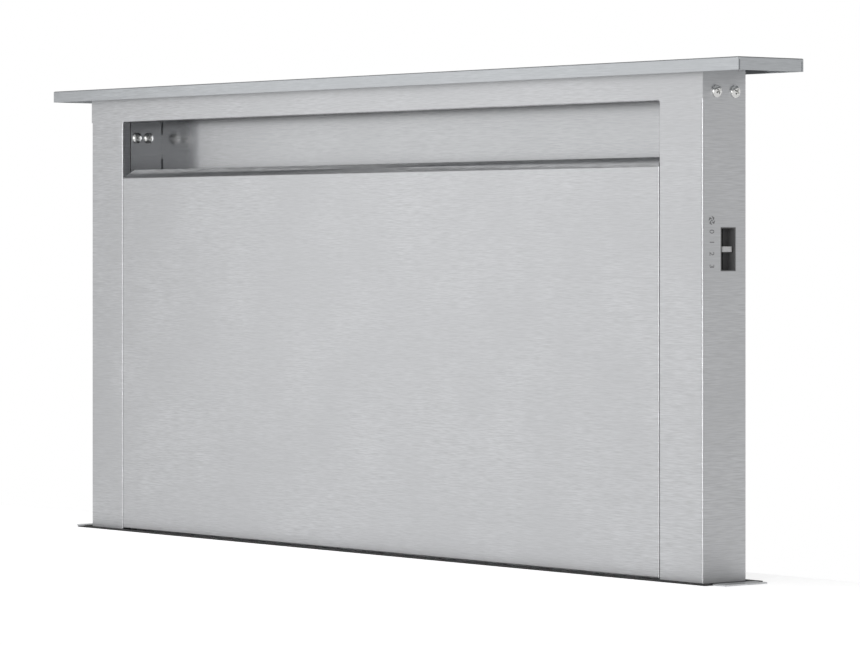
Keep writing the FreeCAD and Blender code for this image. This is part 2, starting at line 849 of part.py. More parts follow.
# ---------------------------------------------------------------- speed slider
def speed_slider():
    outer_y = inset(slider_y, size.running)
    outer_z = inset(slider_z, size.running)
    inner_y = inset(outer_y, size.bezel_wall)
    inner_z = inset(outer_z, size.bezel_wall)
    back = half_width - size.bezel_depth

    bezel = Sheetwork("slider_bezel")
    bezel.pad("YZ", (back, half_width), rectangle(outer_y, outer_z), rectangle(inner_y, inner_z))
    bezel.pad("YZ", (side_inside - size.bezel_lip_thick, side_inside),
              rectangle(inset(slider_y, -size.bezel_lip), inset(slider_z, -size.bezel_lip)),
              rectangle(inner_y, inner_z))
    bezel.done()

    middle_y = (slider_y[0] + slider_y[1]) / 2
    switch_back = back - size.switch_depth
    track_bottom = back - size.switch_track
    body = box("switch_block", (switch_back, back),
               inset(slider_y, -size.bezel_lip), inset(slider_z, -size.bezel_lip))
    track = box("switch_track", (track_bottom, back + PAST), about(middle_y, size.stem + size.play * 2),
                about(size.slider_middle, size.slider_travel * 2 + size.stem + size.play * 2))
    node(cut("switch_body_cut", body, track), "switch_body")

    knob = Sheetwork("speed_knob")
    face = half_width - size.knob_sink
    blade_y = inset(inner_y, size.play)
    knob.pad("XY", about(size.slider_middle, size.knob_thick), [
        (back + size.play, blade_y[0]), (face, blade_y[0], size.knob_round),
        (face, blade_y[1], size.knob_round), (back + size.play, blade_y[1]),
    ])
    knob.pad("XY", about(size.slider_middle, size.stem),
             rectangle((track_bottom + size.play, back + PAST), about(middle_y, size.stem)))
    knob.done()


# ---------------------------------------------------------------- filters, sill, baffle, base
filter_y = (-size.filter_front, size.filter_thick - size.filter_front)
sill_top = -size.sill_drop + size.skin
insert_span = (-opening + size.panel_gap, opening - size.panel_gap)


def filters():
    low = size.filter_gap / 2
    high = opening - size.filter_gap
    outer_z = (sill_top, size.filter_top)
    meshes = []
    pulls = []
    for name, side in SIDES:
        outer_x = across(side, low, high)
        frame = Sheetwork(f"filter_frame_{name}")
        frame.pad("XZ", filter_y, rectangle(outer_x, outer_z, size.bend),
                  rectangle(inset(outer_x, size.filter_frame), inset(outer_z, size.filter_frame)))
        frame.done()
        gap = size.filter_frame + size.play
        middle = (filter_y[0] + filter_y[1]) / 2
        meshes.append(box(f"filter_mesh_{name}", inset(outer_x, gap), about(middle, size.filter_mesh),
                          inset(outer_z, gap)))
        pull_spot = ((low + size.filter_frame / 2) * side, size.pull_height)
        pulls.append(bar(f"filter_pull_{name}", "y", pull_spot, (filter_y[0] - size.pull_rise, filter_y[0]),
                         size.pull_radius))
    group("filter_mesh", *meshes)
    group("filter_pulls", *pulls)


def sill_and_baffle():
    sill = Sheetwork("filter_sill")
    back = filter_y[1] + size.skin + size.play
    sill.pad("YZ", insert_span, [
        (front_inside, -size.sill_drop), (back, -size.sill_drop), (back, size.sill_lip),
        (back - size.skin, size.sill_lip), (back - size.skin, sill_top),
        (front_inside + size.skin, sill_top), (front_inside + size.skin, ZERO), (front_inside, ZERO),
    ])
    sill.done()
    baffle = Sheetwork("air_baffle")
    front = filter_y[0] - size.skin - size.play
    low = size.filter_top + size.play
    baffle.pad("YZ", insert_span, [
        (front, low - size.baffle_lip), (front + size.skin, low - size.baffle_lip),
        (front + size.skin, low), (back_inside, low), (back_inside, low + size.baffle_lip),
        (back_inside - size.skin, low + size.baffle_lip), (back_inside - size.skin, low + size.skin),
        (front, low + size.skin),
    ])
    baffle.done()


def base_plate(name, side):
    """An end plate of the base, with the hole that its lift nut sits in."""
    plate = Sheetwork(name)
    plate.pad("XY", (riser_foot, base_top),
              rectangle(across(side, base_window, side_inside - size.bend), (front_inside, back_inside)),
              circle(lead_place * side, ZERO, size.nut_radius + size.running))
    return plate.body


def base_angle(name, side):
    """An angle along the base's window, on the back panel for side 1 and on the shell for side -1."""
    rim = back_inside - size.skin
    rim_top = riser_foot + size.base_rim
    angle = Sheetwork(name)
    angle.pad("YZ", (-base_window, base_window), mirrored(side, [
        (back_inside, riser_foot), (back_inside, rim_top), (rim, rim_top), (rim, base_top),
        (rim - size.base_window, base_top), (rim - size.base_window, riser_foot),
    ]))
    return angle.body


def riser_base():
    """Two end plates and two angles close the riser's foot round a window for the air."""
    group("riser_base",
          base_plate("base_plate_left", -1), base_plate("base_plate_right", 1),
          base_angle("base_angle_front", -1), base_angle("base_angle_back", 1))


# ---------------------------------------------------------------- lift: nuts, shoes, striker on the riser
def lift_nuts():
    nuts = []
    for name, side in SIDES:
        centre = (lead_place * side, ZERO)
        blank = fuse(f"nut_blank_{name}",
                     bar(f"nut_body_{name}", "z", centre, (riser_foot, riser_foot + size.nut_height),
                         size.nut_radius),
                     bar(f"nut_flange_{name}", "z", centre, (base_top, base_top + size.nut_flange_thick),
                         size.nut_flange))
        bore = bar(f"nut_bore_{name}", "z", centre,
                   (riser_foot - PAST, riser_foot + size.nut_height + PAST), size.lead_radius + size.running)
        nuts.append(cut(f"lift_nut_{name}", blank, bore))
    group("lift_nuts", *nuts)


rail_face = housing_side - size.rail_thick


def guide_shoes():
    shoes = []
    for name, side in SIDES:
        for row, top in enumerate((-size.upper_shoe + size.shoe_height, riser_foot + size.shoe_height)):
            block = box(f"shoe_block_{name}_{row}", across(side, half_width, housing_side - size.shoe_clear),
                        about(ZERO, size.shoe_width), (top - size.shoe_height, top))
            groove = box(f"shoe_groove_{name}_{row}",
                         across(side, rail_face - size.play, housing_side),
                         about(ZERO, size.rail_width + size.play * 2),
                         (top - size.shoe_height - PAST, top + PAST))
            shoes.append(cut(f"guide_shoe_{name}_{row}", block, groove))
    group("guide_shoes", *shoes)


striker_z = (riser_foot + size.striker_lift, riser_foot + size.striker_lift + size.striker_height)


def limit_striker():
    node(box("striker_block", across(-1, half_width, half_width + size.striker_thick),
             (size.striker_front, size.striker_front + size.striker_depth), striker_z), "limit_striker")


# ---------------------------------------------------------------- housing
blower_centre = (-size.blower_left, -size.blower_drop)
mount_back = -housing_face_out
mount_front = mount_back - size.mount_plate
scroll_front = mount_front - size.scroll_depth
cover_front = scroll_front - size.mount_plate
outlet_end = blower_centre[0] + size.outlet_reach
scroll_foot = blower_centre[1] - size.scroll_radius - size.scroll_growth * 3
tongue_height = blower_centre[1] - size.tongue_drop
plate_x = (blower_centre[0] - size.scroll_radius - size.scroll_growth - size.plate_margin, outlet_end)
plate_z = (scroll_foot - size.plate_margin, blower_centre[1] + size.scroll_radius + size.plate_margin)
plate_screws = [(x, z) for x in inset(plate_x, size.plate_margin / 2)
                for z in inset(plate_z, size.plate_margin / 2)]


def wall_screw_spots():
    return [(wall_screw_place * side, height) for _, side in SIDES for height in wall_screw_heights]


def housing_walls():
    holes = [circle(x, z, screw_hole) for x, z in wall_screw_spots()]
    front = Sheetwork("housing_front")
    front.pad("XZ", (-housing_face_out, -housing_face),
              rectangle((-housing_side_out, housing_side_out), (housing_foot, ZERO)), *holes,
              circle(*blower_centre, size.inlet_mouth),
              *[circle(x, z, screw_hole) for x, z in plate_screws])
    front.done()
    back = Sheetwork("housing_back")
    back.pad("XZ", (housing_face, housing_face_out),
             rectangle((-housing_side_out, housing_side_out), (housing_foot, ZERO)), *holes)
    back.done()
    for name, side in SIDES:
        wall = Sheetwork(f"housing_{name}")
        lip = housing_side_out - size.housing_flange
        wall.pad("XY", (housing_foot, ZERO), mirrored(side, [
            (lip, -housing_face), (housing_side_out, -housing_face, size.bend),
            (housing_side_out, housing_face, size.bend), (lip, housing_face),
            (lip, housing_face - size.skin), (housing_side, housing_face - size.skin, inner_fold),
            (housing_side, -housing_face + size.skin, inner_fold), (lip, -housing_face + size.skin),
        ]))
        for level in ((housing_face - size.skin - PAST, housing_face + PAST),
                      (-housing_face - PAST, -housing_face + size.skin + PAST)):
            wall.pocket("XZ", level, *[circle(wall_screw_place * side, height, screw_hole)
                                       for height in wall_screw_heights])
        wall.pocket("YZ", across(side, housing_side - PAST, housing_side_out + PAST),
                    *[circle(y, -size.flange_screw_drop, screw_hole)
                      for y in about(ZERO, size.flange_screw_pitch)],
                    *[circle(y, leg_screw_height, screw_hole) for y in about(ZERO, size.leg_screw_pitch)])
        wall.done()


def housing_floor():
    tray = Sheetwork("housing_floor")
    lip = housing_side_out - size.housing_flange - size.play
    depth = inset((-housing_face, housing_face), size.skin + size.play)
    holes = [circle(lead_place * side, ZERO, size.journal_radius + size.passing) for _, side in SIDES]
    tray.pad("XY", (housing_foot, housing_foot + size.skin),
             rectangle(inset((-housing_side, housing_side), size.play), depth), *holes)
    for rim in ((-housing_face, -housing_face + size.skin), (housing_face - size.skin, housing_face)):
        tray.pad("XY", (housing_foot, housing_foot + size.floor_rim), rectangle((-lip, lip), rim))
    for side in (-1, 1):
        span = (housing_face - size.skin * 2, housing_face - size.skin)
        tray.pad("XY", (housing_foot, housing_foot + size.skin),
                 rectangle((-lip, lip), across(side, *span)))
    tray.done()


def wiper_seal():
    seal = Sheetwork("wiper_seal")
    out_y = half_depth + size.seal_front
    in_x = half_width + size.seal_side
    in_y = half_depth + size.seal_wipe
    seal.pad("XY", (ZERO, size.seal_thick),
             rectangle((-housing_side_out, housing_side_out), (-out_y, out_y)),
             rectangle((-in_x, in_x), (-in_y, in_y)))
    seal.done()


def counter_flange(name, side):
    """An angle screwed to the housing's side; its flat leaf lies on the worktop and is screwed down."""
    flange = Sheetwork(name)
    end = housing_side_out + size.flange_reach
    flange.pad("XZ", about(ZERO, size.flange_depth), mirrored(side, [
        (housing_side_out, -size.flange_drop), (housing_side_out + size.flange_thick, -size.flange_drop),
        (housing_side_out + size.flange_thick, ZERO), (end, ZERO), (end, size.flange_thick),
        (housing_side_out, size.flange_thick),
    ]))
    hole_x = (housing_side_out + size.flange_hole_reach) * side
    flange.pocket("XY", (-PAST, size.flange_thick + PAST),
                  *[circle(hole_x, y, size.flange_hole) for y in about(ZERO, size.flange_hole_pitch)])
    flange.pocket("YZ", across(side, housing_side_out - PAST, housing_side_out + size.flange_thick + PAST),
                  *[circle(y, -size.flange_screw_drop, screw_hole)
                    for y in about(ZERO, size.flange_screw_pitch)])
    flange.done()


# ---------------------------------------------------------------- lift: rails, screws, belt, motor
def guide_rails():
    rails = [box(f"guide_rail_{name}", across(side, rail_face, housing_side), about(ZERO, size.rail_width),
                 (housing_foot + size.skin, -size.rail_top)) for name, side in SIDES]
    group("guide_rails", *rails)


floor_top = housing_foot + size.skin
bearing_top = floor_top + size.bearing_height
pulley_top = housing_foot - size.pulley_drop
belt_top = pulley_top - size.pulley_flange_thick - size.play
belt_foot = belt_top - size.belt_height
pulley_foot = belt_foot - size.play - size.pulley_flange_thick
hanger_foot = housing_foot - size.hanger_height
gearbox_foot = hanger_foot - size.gearbox_height
lift_motor_foot = gearbox_foot - size.lift_motor_height


def screw_bearings():
    bearings = []
    for name, side in SIDES:
        centre = (lead_place * side, ZERO)
        blank = fuse(f"bearing_blank_{name}",
                     bar(f"bearing_body_{name}", "z", centre, (floor_top, bearing_top), size.bearing_radius),
                     bar(f"bearing_flange_{name}", "z", centre, (floor_top, floor_top + size.bearing_foot),
                         size.bearing_flange))
        bore = bar(f"bearing_bore_{name}", "z", centre, (floor_top - PAST, bearing_top + PAST),
                   size.journal_radius + size.running)
        bearings.append(cut(f"screw_bearing_{name}", blank, bore))
    group("screw_bearings", *bearings)


def lead_screw(name, side, foot):
    centre = (lead_place * side, ZERO)
    shoulder = bearing_top + size.play
    tip = -size.lead_top - size.bend
    node(fuse(f"{name}_parts",
              bar(f"{name}_journal", "z", centre, (foot, shoulder), size.journal_radius),
              bar(f"{name}_thread", "z", centre, (shoulder, tip), size.lead_radius),
              bar(f"{name}_tip", "z", centre, (tip, tip + size.bend), size.lead_radius, size.journal_radius)),
         name)


def screw_pulley(name, side):
    centre = (lead_place * side, ZERO)
    blank = fuse(f"{name}_blank",
                 bar(f"{name}_rim", "z", centre, (pulley_foot, pulley_top), size.pulley_radius),
                 bar(f"{name}_upper", "z", centre, (belt_top + size.play, pulley_top), size.pulley_flange),
                 bar(f"{name}_lower", "z", centre, (pulley_foot, belt_foot - size.play), size.pulley_flange))
    bore = bar(f"{name}_bore", "z", centre, (pulley_foot - PAST, pulley_top + PAST),
               size.journal_radius + size.running)
    node(cut(f"{name}_cut", blank, bore), name)


def drive_belt():
    """One toothed belt round both pulleys keeps the two lead screws in step."""
    inner = size.pulley_radius + size.play
    loops = []
    for label, radius, span in (("outer", inner + size.belt_thick, (belt_foot, belt_top)),
                                ("inner", inner, (belt_foot - PAST, belt_top + PAST))):
        ends = [bar(f"belt_{label}_{name}", "z", (lead_place * side, ZERO), span, radius)
                for name, side in SIDES]
        run = box(f"belt_{label}_run", (-lead_place, lead_place), (-radius, radius), span)
        loops.append(fuse(f"belt_{label}", run, *ends))
    node(cut("belt_loop", *loops), "drive_belt")


def lift_drive():
    hanger = Sheetwork("motor_hanger")
    inside = size.hanger_inside
    outside = inside + size.hanger
    toe = inside + size.hanger_foot
    centre_x = lead_place
    hanger.pad("YZ", about(centre_x, size.hanger_length), [
        (-toe, housing_foot), (-inside, housing_foot), (-inside, hanger_foot + size.hanger),
        (inside, hanger_foot + size.hanger), (inside, housing_foot), (toe, housing_foot),
        (toe, housing_foot - size.hanger), (outside, housing_foot - size.hanger), (outside, hanger_foot),
        (-outside, hanger_foot), (-outside, housing_foot - size.hanger), (-toe, housing_foot - size.hanger),
    ])
    hanger.pocket("XY", (hanger_foot - PAST, hanger_foot + size.hanger + PAST),
                  circle(centre_x, ZERO, size.journal_radius + size.passing))
    hanger.done()

    centre = (centre_x, ZERO)
    case = Sheetwork("lift_gearbox")
    case.pad("XY", (gearbox_foot, hanger_foot),
             rectangle(about(centre_x, size.gearbox_size), about(ZERO, size.gearbox_size), size.bend * 2),
             circle(*centre, size.journal_radius + size.running))
    case.done()
    node(fuse("lift_motor_parts",
              bar("lift_motor_can", "z", centre, (lift_motor_foot, gearbox_foot), size.lift_motor_radius),
              bar("lift_motor_cap", "z", centre, (lift_motor_foot - size.lift_motor_cap, lift_motor_foot),
                  size.lift_motor_radius * 0.6)), "lift_motor")


def limit_switches():
    upper_foot = striker_z[1] + size.play
    lower_top = striker_z[0] - size.travel - size.play
    spans = ((upper_foot, upper_foot + size.limit_switch_height),
             (lower_top - size.limit_switch_height, lower_top))
    group("limit_switches", *[
        box(f"limit_switch_{row}", across(-1, housing_side - size.limit_switch_thick, housing_side),
            (size.limit_switch_front, size.limit_switch_front + size.limit_switch_depth), span)
        for row, span in enumerate(spans)])


# ---------------------------------------------------------------- blower
def spiral(grow, outlet):
    """The scroll's outline: three quarter turns, each one step wider, and the outlet; grow > 0 is outward."""
    x, z = blower_centre
    radius = size.scroll_radius + grow
    growth = size.scroll_growth
    tongue = tongue_height + grow
    return [
        arc(x, z, radius, 0, 1),
        arc(x, z - growth, radius + growth, 1, 2),
        arc(x + growth, z - growth, radius + growth * 2, 2, 3),
        (outlet, scroll_foot - grow), (outlet, tongue),
        (x + radius, tongue, size.tongue_bend - grow), (x + radius, z),
    ]


def blower_case():
    plate = Sheetwork("blower_mount_plate")
    plate.pad("XZ", (mount_front, mount_back), rectangle(plate_x, plate_z, size.bend),
              circle(*blower_centre, size.inlet_mouth), *[circle(x, z, screw_hole) for x, z in plate_screws])
    plate.done()
    wrap = Sheetwork("scroll_wrap")
    wrap.pad("XZ", (scroll_front, mount_front), spiral(ZERO, outlet_end))
    wrap.pocket("XZ", (scroll_front - PAST, mount_front + PAST), spiral(-size.scroll_skin, outlet_end + PAST))
    wrap.done()
    cover = Sheetwork("scroll_cover")
    cover.pad("XZ", (cover_front, scroll_front), spiral(ZERO, outlet_end),
              circle(*blower_centre, size.shaft_radius + size.passing))
    cover.done()
    throat = mount_front - size.inlet_depth
    skin = size.scroll_skin
    blank = fuse("inlet_ring_blank",
                 bar("inlet_ring_flange", "y", blower_centre, (mount_front - skin, mount_front),
                     size.inlet_flange),
                 bar("inlet_ring_bell", "y", blower_centre, (throat, mount_front),
                     size.inlet_radius + skin, size.inlet_mouth + skin))
    bores = [bar("inlet_ring_throat", "y", blower_centre, (throat - PAST, throat), size.inlet_radius),
             bar("inlet_ring_taper", "y", blower_centre, (throat, mount_front),
                 size.inlet_radius, size.inlet_mouth),
             bar("inlet_ring_mouth", "y", blower_centre, (mount_front, mount_front + PAST),
                 size.inlet_mouth)]
    node(cut("inlet_ring_cut", blank, *bores), "inlet_ring")


wheel_front = mount_front - size.inlet_depth - size.wheel_clear
wheel_back = wheel_front - size.wheel_depth


def meeting(centre, radius, limit):
    """Where a circle about centre meets the circle of radius limit about the origin, on its upper side."""
    middle = vector(centre)
    reach = middle.Length
    along = (reach ** 2 + limit.number ** 2 - radius.number ** 2) / (2 * reach)
    aside = math.sqrt(limit.number ** 2 - along ** 2)
    way = middle / reach
    return way * along + FreeCAD.Vector(-way.y, way.x, 0) * aside


def blade(wheel, span):
    """One blade: two concentric arcs that run from the wheel's eye to its rim, closed by two short lines."""
    sketch = wheel.sketch("XZ", span[1], [])
    drawing = Drawing(sketch)
    eye = size.wheel_eye
    rim = size.wheel_radius - size.blade_thick / 2
    centre = ((eye + rim) / 2, -size.blade_bend / 2)
    arcs = []
    for radius in (size.blade_bend, size.blade_bend - size.blade_thick):
        ends = [meeting(centre, radius, limit) for limit in (rim, eye)]
        offsets = [end - vector(centre) for end in ends]
        angles = [math.atan2(offset.y, offset.x) for offset in offsets]
        geometry = drawing.add_arc_between(centre, radius, *angles)
        drawing.bind("Distance", geometry, 1, rim)
        drawing.bind("Distance", geometry, 2, eye)
        arcs.append((geometry, ends))
    drawing.finish()
    for point in (1, 2):
        line = sketch.addGeometry(Part.LineSegment(arcs[0][1][point - 1], arcs[1][1][point - 1]))
        for end in (1, 2):
            sketch.addConstraint(Sketcher.Constraint("Coincident", line, end, arcs[end - 1][0], point))
    feature = wheel.feature("Pad", sketch)
    feature.setExpression("Length", (span[1] - span[0]).formula)
    return feature


def blower_wheel():
    """A squirrel cage: a back disc with its hub, forward-curved blades and a front ring."""
    wheel = Sheetwork("blower_wheel")
    place(wheel.body, blower_centre[0], wheel_front, blower_centre[1])
    back = -size.wheel_depth
    shaft_hole = circle(ZERO, ZERO, size.shaft_radius + size.running)
    wheel.pad("XZ", (back, back + size.wheel_skin), circle(ZERO, ZERO, size.wheel_radius), shaft_hole)
    wheel.pad("XZ", (back, back + size.hub_length), circle(ZERO, ZERO, size.hub_radius), shaft_hole)
    first = blade(wheel, (back, ZERO))
    document.recompute()
    blades = wheel.body.newObject("PartDesign::PolarPattern", "blower_blades")
    blades.Originals = [first]
    blades.Axis = (first.Profile[0], ["N_Axis"])
    blades.Angle = 360
    blades.setExpression("Occurrences", "Sizes.blade_count")
    wheel.body.Tip = blades
    document.recompute()
    wheel.pad("XZ", (-size.wheel_skin, ZERO), circle(ZERO, ZERO, size.wheel_radius),
              circle(ZERO, ZERO, size.wheel_eye))
    wheel.done()
    node(bar("fan_shaft_bar", "y", blower_centre, (cover_front - size.shaft_grip, wheel_back + size.hub_length),
             size.shaft_radius), "fan_shaft")


def blower_motor():
    front = cover_front - size.fan_motor_depth
    can = fuse("fan_motor_parts",
               bar("fan_motor_can", "y", blower_centre, (front, cover_front), size.fan_motor_radius),
               bar("fan_motor_dome", "y", blower_centre, (front - size.fan_motor_dome, front),
                   size.fan_motor_radius * 0.6, size.fan_motor_radius))
    bore = bar("fan_motor_bore", "y", blower_centre, (cover_front - size.shaft_grip - PAST, cover_front + PAST),
               size.shaft_radius + size.running)
    node(cut("fan_motor_cut", can, bore), "blower_motor")


# ---------------------------------------------------------------- duct and damper
transition_end = outlet_end + size.transition
collar_end = transition_end + size.collar
duct_centre = (-housing_face_out - size.duct_clear - size.duct_radius - size.collar_flange,
               (scroll_foot + tongue_height) / 2)
flap_x = transition_end + size.flap_place
flap_axis = (flap_x, duct_centre[1] + size.flap_lift)


def duct_transition():
    """Runs from the scroll's rectangular outlet to the round duct, and ends in a flange."""
    piece = Sheetwork("duct_transition")
    mouth_y = (cover_front, mount_back)
    mouth_z = (scroll_foot, tongue_height)
    skin = size.duct_skin
    neck = transition_end - size.collar_flange_thick
    for kind, wall in (("AdditiveLoft", ZERO), ("SubtractiveLoft", skin)):
        piece.loft(kind, "YZ", [
            (outlet_end, rectangle(inset(mouth_y, wall), inset(mouth_z, wall))),
            (neck, ring(duct_centre, size.duct_radius - wall)),
        ])
    piece.pad("YZ", (neck, transition_end), circle(*duct_centre, size.duct_radius + size.collar_flange),
              circle(*duct_centre, size.duct_radius - skin))
    piece.done()


def duct_collar():
    """The round outlet that the house's duct slips over, with a stop for the flap's lower edge."""
    collar = Sheetwork("duct_collar")
    y, z = duct_centre
    inner = size.duct_radius - size.duct_skin
    bore = circle(y, z, inner)
    collar.pad("YZ", (transition_end, collar_end), circle(y, z, size.duct_radius), bore)
    collar.pad("YZ", (transition_end, transition_end + size.collar_flange_thick),
               circle(y, z, size.duct_radius + size.collar_flange), bore)
    stop_x = flap_x - size.flap_thick / 2 - size.play
    stop_foot = z - inner - size.duct_skin / 2
    collar.pad("YZ", (stop_x - size.flap_stop, stop_x),
               rectangle(about(y, size.flap_stop * 4), (stop_foot, z - inner + size.flap_stop * 2)))
    collar.pocket("XZ", about(y, size.duct_radius * 2 + PAST), circle(*flap_axis, size.flap_pin + size.running))
    collar.done()
    node(bar("damper_pin_bar", "y", flap_axis, about(y, size.flap_pin_length), size.flap_pin), "damper_pin")


def damper_flap():
    """A disc hung above its middle, so that it falls shut when the blower stops."""
    disc = bar("flap_disc", "x", duct_centre, about(flap_x, size.flap_thick),
               size.duct_radius - size.duct_skin - size.flap_play)
    barrel = bar("flap_barrel", "y", flap_axis, about(duct_centre[0], size.flap_barrel_length),
                 size.flap_barrel)
    bore = bar("flap_bore", "y", flap_axis, about(duct_centre[0], size.duct_radius * 2),
               size.flap_pin + size.running)
    node(cut("damper_flap_cut", fuse("flap_blank", disc, barrel), bore), "damper_flap")


# ---------------------------------------------------------------- control box
def control_box():
    left = -housing_side_out + size.box_inset
    x = (left, left + size.box_width)
    z = (-size.box_drop - size.box_height, -size.box_drop)
    front = -housing_face_out - size.box_depth
    case = Sheetwork("control_box")
    case.pad("XZ", (front, -housing_face_out), rectangle(x, z, size.bend))
    case.pocket("XZ", (front - PAST, -housing_face_out - size.skin),
                rectangle(inset(x, size.skin), inset(z, size.skin), inner_fold))
    board_x = inset(x, size.board_inset)
    board_z = inset(z, size.board_inset)
    posts = [(a, b) for a in inset(board_x, size.board_inset) for b in inset(board_z, size.board_inset)]
    post_front = -housing_face_out - size.skin - size.board_stand
    case.pad("XZ", (post_front, -housing_face_out - size.skin),
             *[circle(*spot, size.post_radius) for spot in posts])
    gland_spot = (x[1] - size.gland_inset, front / 2 - housing_face_out / 2)
    case.pocket("XY", (z[0] - PAST, z[0] + size.skin + PAST),
                circle(*gland_spot, size.gland_radius + size.running))
    case.done()

    lid = Sheetwork("control_cover")
    lid.pad("XZ", (front - size.skin, front), rectangle(x, z, size.bend))
    lid.done()

    board_y = (post_front - size.board_thick, post_front)
    parts = [box("board_plate", board_x, board_y, board_z)]
    unit = size.board_inset
    for row in range(3):
        left = board_x[0] + unit * (2 + row * 3)
        parts.append(box(f"board_relay_{row}", (left, left + unit * 2), (board_y[0] - unit * 2, board_y[0]),
                         (board_z[1] - unit * 5, board_z[1] - unit * 2)))
    parts.append(box("board_transformer", (board_x[1] - unit * 6, board_x[1] - unit * 2),
                     (board_y[0] - unit * 4, board_y[0]), (board_z[1] - unit * 7, board_z[1] - unit * 2)))
    parts.append(bar("board_capacitor", "y", (board_x[0] + unit * 4, board_z[0] + unit * 5),
                     (board_y[0] - unit * 3, board_y[0]), unit * 1.5))
    parts.append(box("board_terminals", (board_x[1] - unit * 8, board_x[1] - unit * 2),
                     (board_y[0] - unit * 1.5, board_y[0]), (board_z[0] + unit * 2, board_z[0] + unit * 3.5)))
    node(fuse("control_board_parts", *parts), "control_board")

    gland_z = (z[0] - size.gland_nut, z[0] + size.gland_inside)
    gland = fuse("gland_blank",
                 bar("gland_thread", "z", gland_spot, gland_z, size.gland_radius),
                 bar("gland_nut", "z", gland_spot, (gland_z[0], z[0]), size.gland_flange))
    bore = bar("gland_bore_bar", "z", gland_spot, inset(gland_z, -PAST), size.gland_bore)
    node(cut("cable_gland_cut", gland, bore), "cable_gland")


# ---------------------------------------------------------------- legs
def support_leg(name, side):
    """A flat leg, narrow beside the duct's path and spread at its foot, which is turned outward."""
    leg = Sheetwork(name)
    inner = housing_side_out
    outer = inner + size.leg_thick
    foot_z = -size.leg_drop
    leg.pad("YZ", across(side, inner, outer), [
        (-size.leg_front, foot_z), (size.leg_back, foot_z), (size.leg_back, foot_z + size.leg_heel),
        (size.leg_head, -size.leg_knee), (size.leg_head, -size.leg_top),
        (-size.leg_head, -size.leg_top), (-size.leg_head, -size.leg_knee),
        (-size.leg_front, foot_z + size.leg_heel),
    ], *[circle(y, leg_screw_height, screw_hole) for y in about(ZERO, size.leg_screw_pitch)])
    hole_x = (outer + size.foot_hole_reach) * side
    leg.pad("XY", (foot_z, foot_z + size.leg_thick),
            rectangle(across(side, inner, outer + size.foot), (-size.leg_front, size.leg_back)),
            *[circle(hole_x, y, size.foot_hole) for y in foot_holes])
    leg.done()


foot_holes = inset((-size.leg_front, size.leg_back), size.foot_hole_inset)


# ---------------------------------------------------------------- screws of the housing
def housing_screws():
    """All of one kind: through the walls, the blower's plate, the worktop flanges and the legs."""
    reach = size.short_reach
    screws = []
    for row, (x, z) in enumerate(wall_screw_spots()):
        screws.append(screw(f"front_screw_{row}", "y", (x, z), -housing_face_out, -1, reach))
        screws.append(screw(f"back_screw_{row}", "y", (x, z), housing_face_out, 1, reach))
    for row, spot in enumerate(plate_screws):
        screws.append(screw(f"blower_screw_{row}", "y", spot, mount_front, -1, reach))
    for name, side in SIDES:
        for row, y in enumerate(about(ZERO, size.flange_screw_pitch)):
            screws.append(screw(f"flange_screw_{name}_{row}", "x", (y, -size.flange_screw_drop),
                                (housing_side_out + size.flange_thick) * side, side, reach))
        for row, y in enumerate(about(ZERO, size.leg_screw_pitch)):
            screws.append(screw(f"leg_screw_{name}_{row}", "x", (y, leg_screw_height),
                                (housing_side_out + size.leg_thick) * side, side, reach))
    group("housing_screws", *screws)


# ---------------------------------------------------------------- the whole vent
riser_shell()
back_panel()
cap()
group("cap_brackets", *[cap_bracket(side) for _, side in SIDES])
riser_screws()
front_panel()
panel_catches()
speed_slider()
filters()
sill_and_baffle()
riser_base()
lift_nuts()
guide_shoes()
limit_striker()
housing_walls()
housing_floor()
wiper_seal()
guide_rails()
screw_bearings()
drive_belt()
lift_drive()
limit_switches()
blower_case()
blower_wheel()
blower_motor()
duct_transition()
duct_collar()
damper_flap()
control_box()
housing_screws()
for side_name, side_sign in SIDES:
    column_wall(f"column_{side_name}", side_sign)
    counter_flange(f"counter_flange_{side_name}", side_sign)
    support_leg(f"support_leg_{side_name}", side_sign)
    screw_pulley(f"screw_pulley_{side_name}", side_sign)
lead_screw("lead_screw_left", -1, pulley_foot)
lead_screw("lead_screw_right", 1, hanger_foot - size.gearbox_bore)

document.recompute()
for item in document.Objects:
    if "Invalid" in item.State or "Error" in item.State:
        raise ValueError(f"{item.Label} failed to build: {item.State}")
os.makedirs("parts", exist_ok=True)
for item in nodes:
    if item.Shape.isNull() or not item.Shape.isValid() or not item.Shape.Solids:
        raise ValueError(f"{item.Label} has no valid solid")
    item.Shape.exportStep(f"parts/{item.Label}.step")
print(f"{len(nodes)} sub-parts, {sum(len(item.Shape.Solids) for item in nodes)} solids")
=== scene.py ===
# %% [markdown]
# A downdraft vent stands behind a cooktop and rises out of a slot in the worktop. What the cook sees
# is folded stainless steel: a tall box with a flat cap, a slot that draws in the steam, and a front
# panel that tilts. Below the worktop is the machine: a housing, two lead screws, a blower and a duct.
# This lesson dresses the finished machine drawing. Every solid is already in its place, so the work
# here is finish, small detail, light and a camera.

# %% Open the drawing
import math

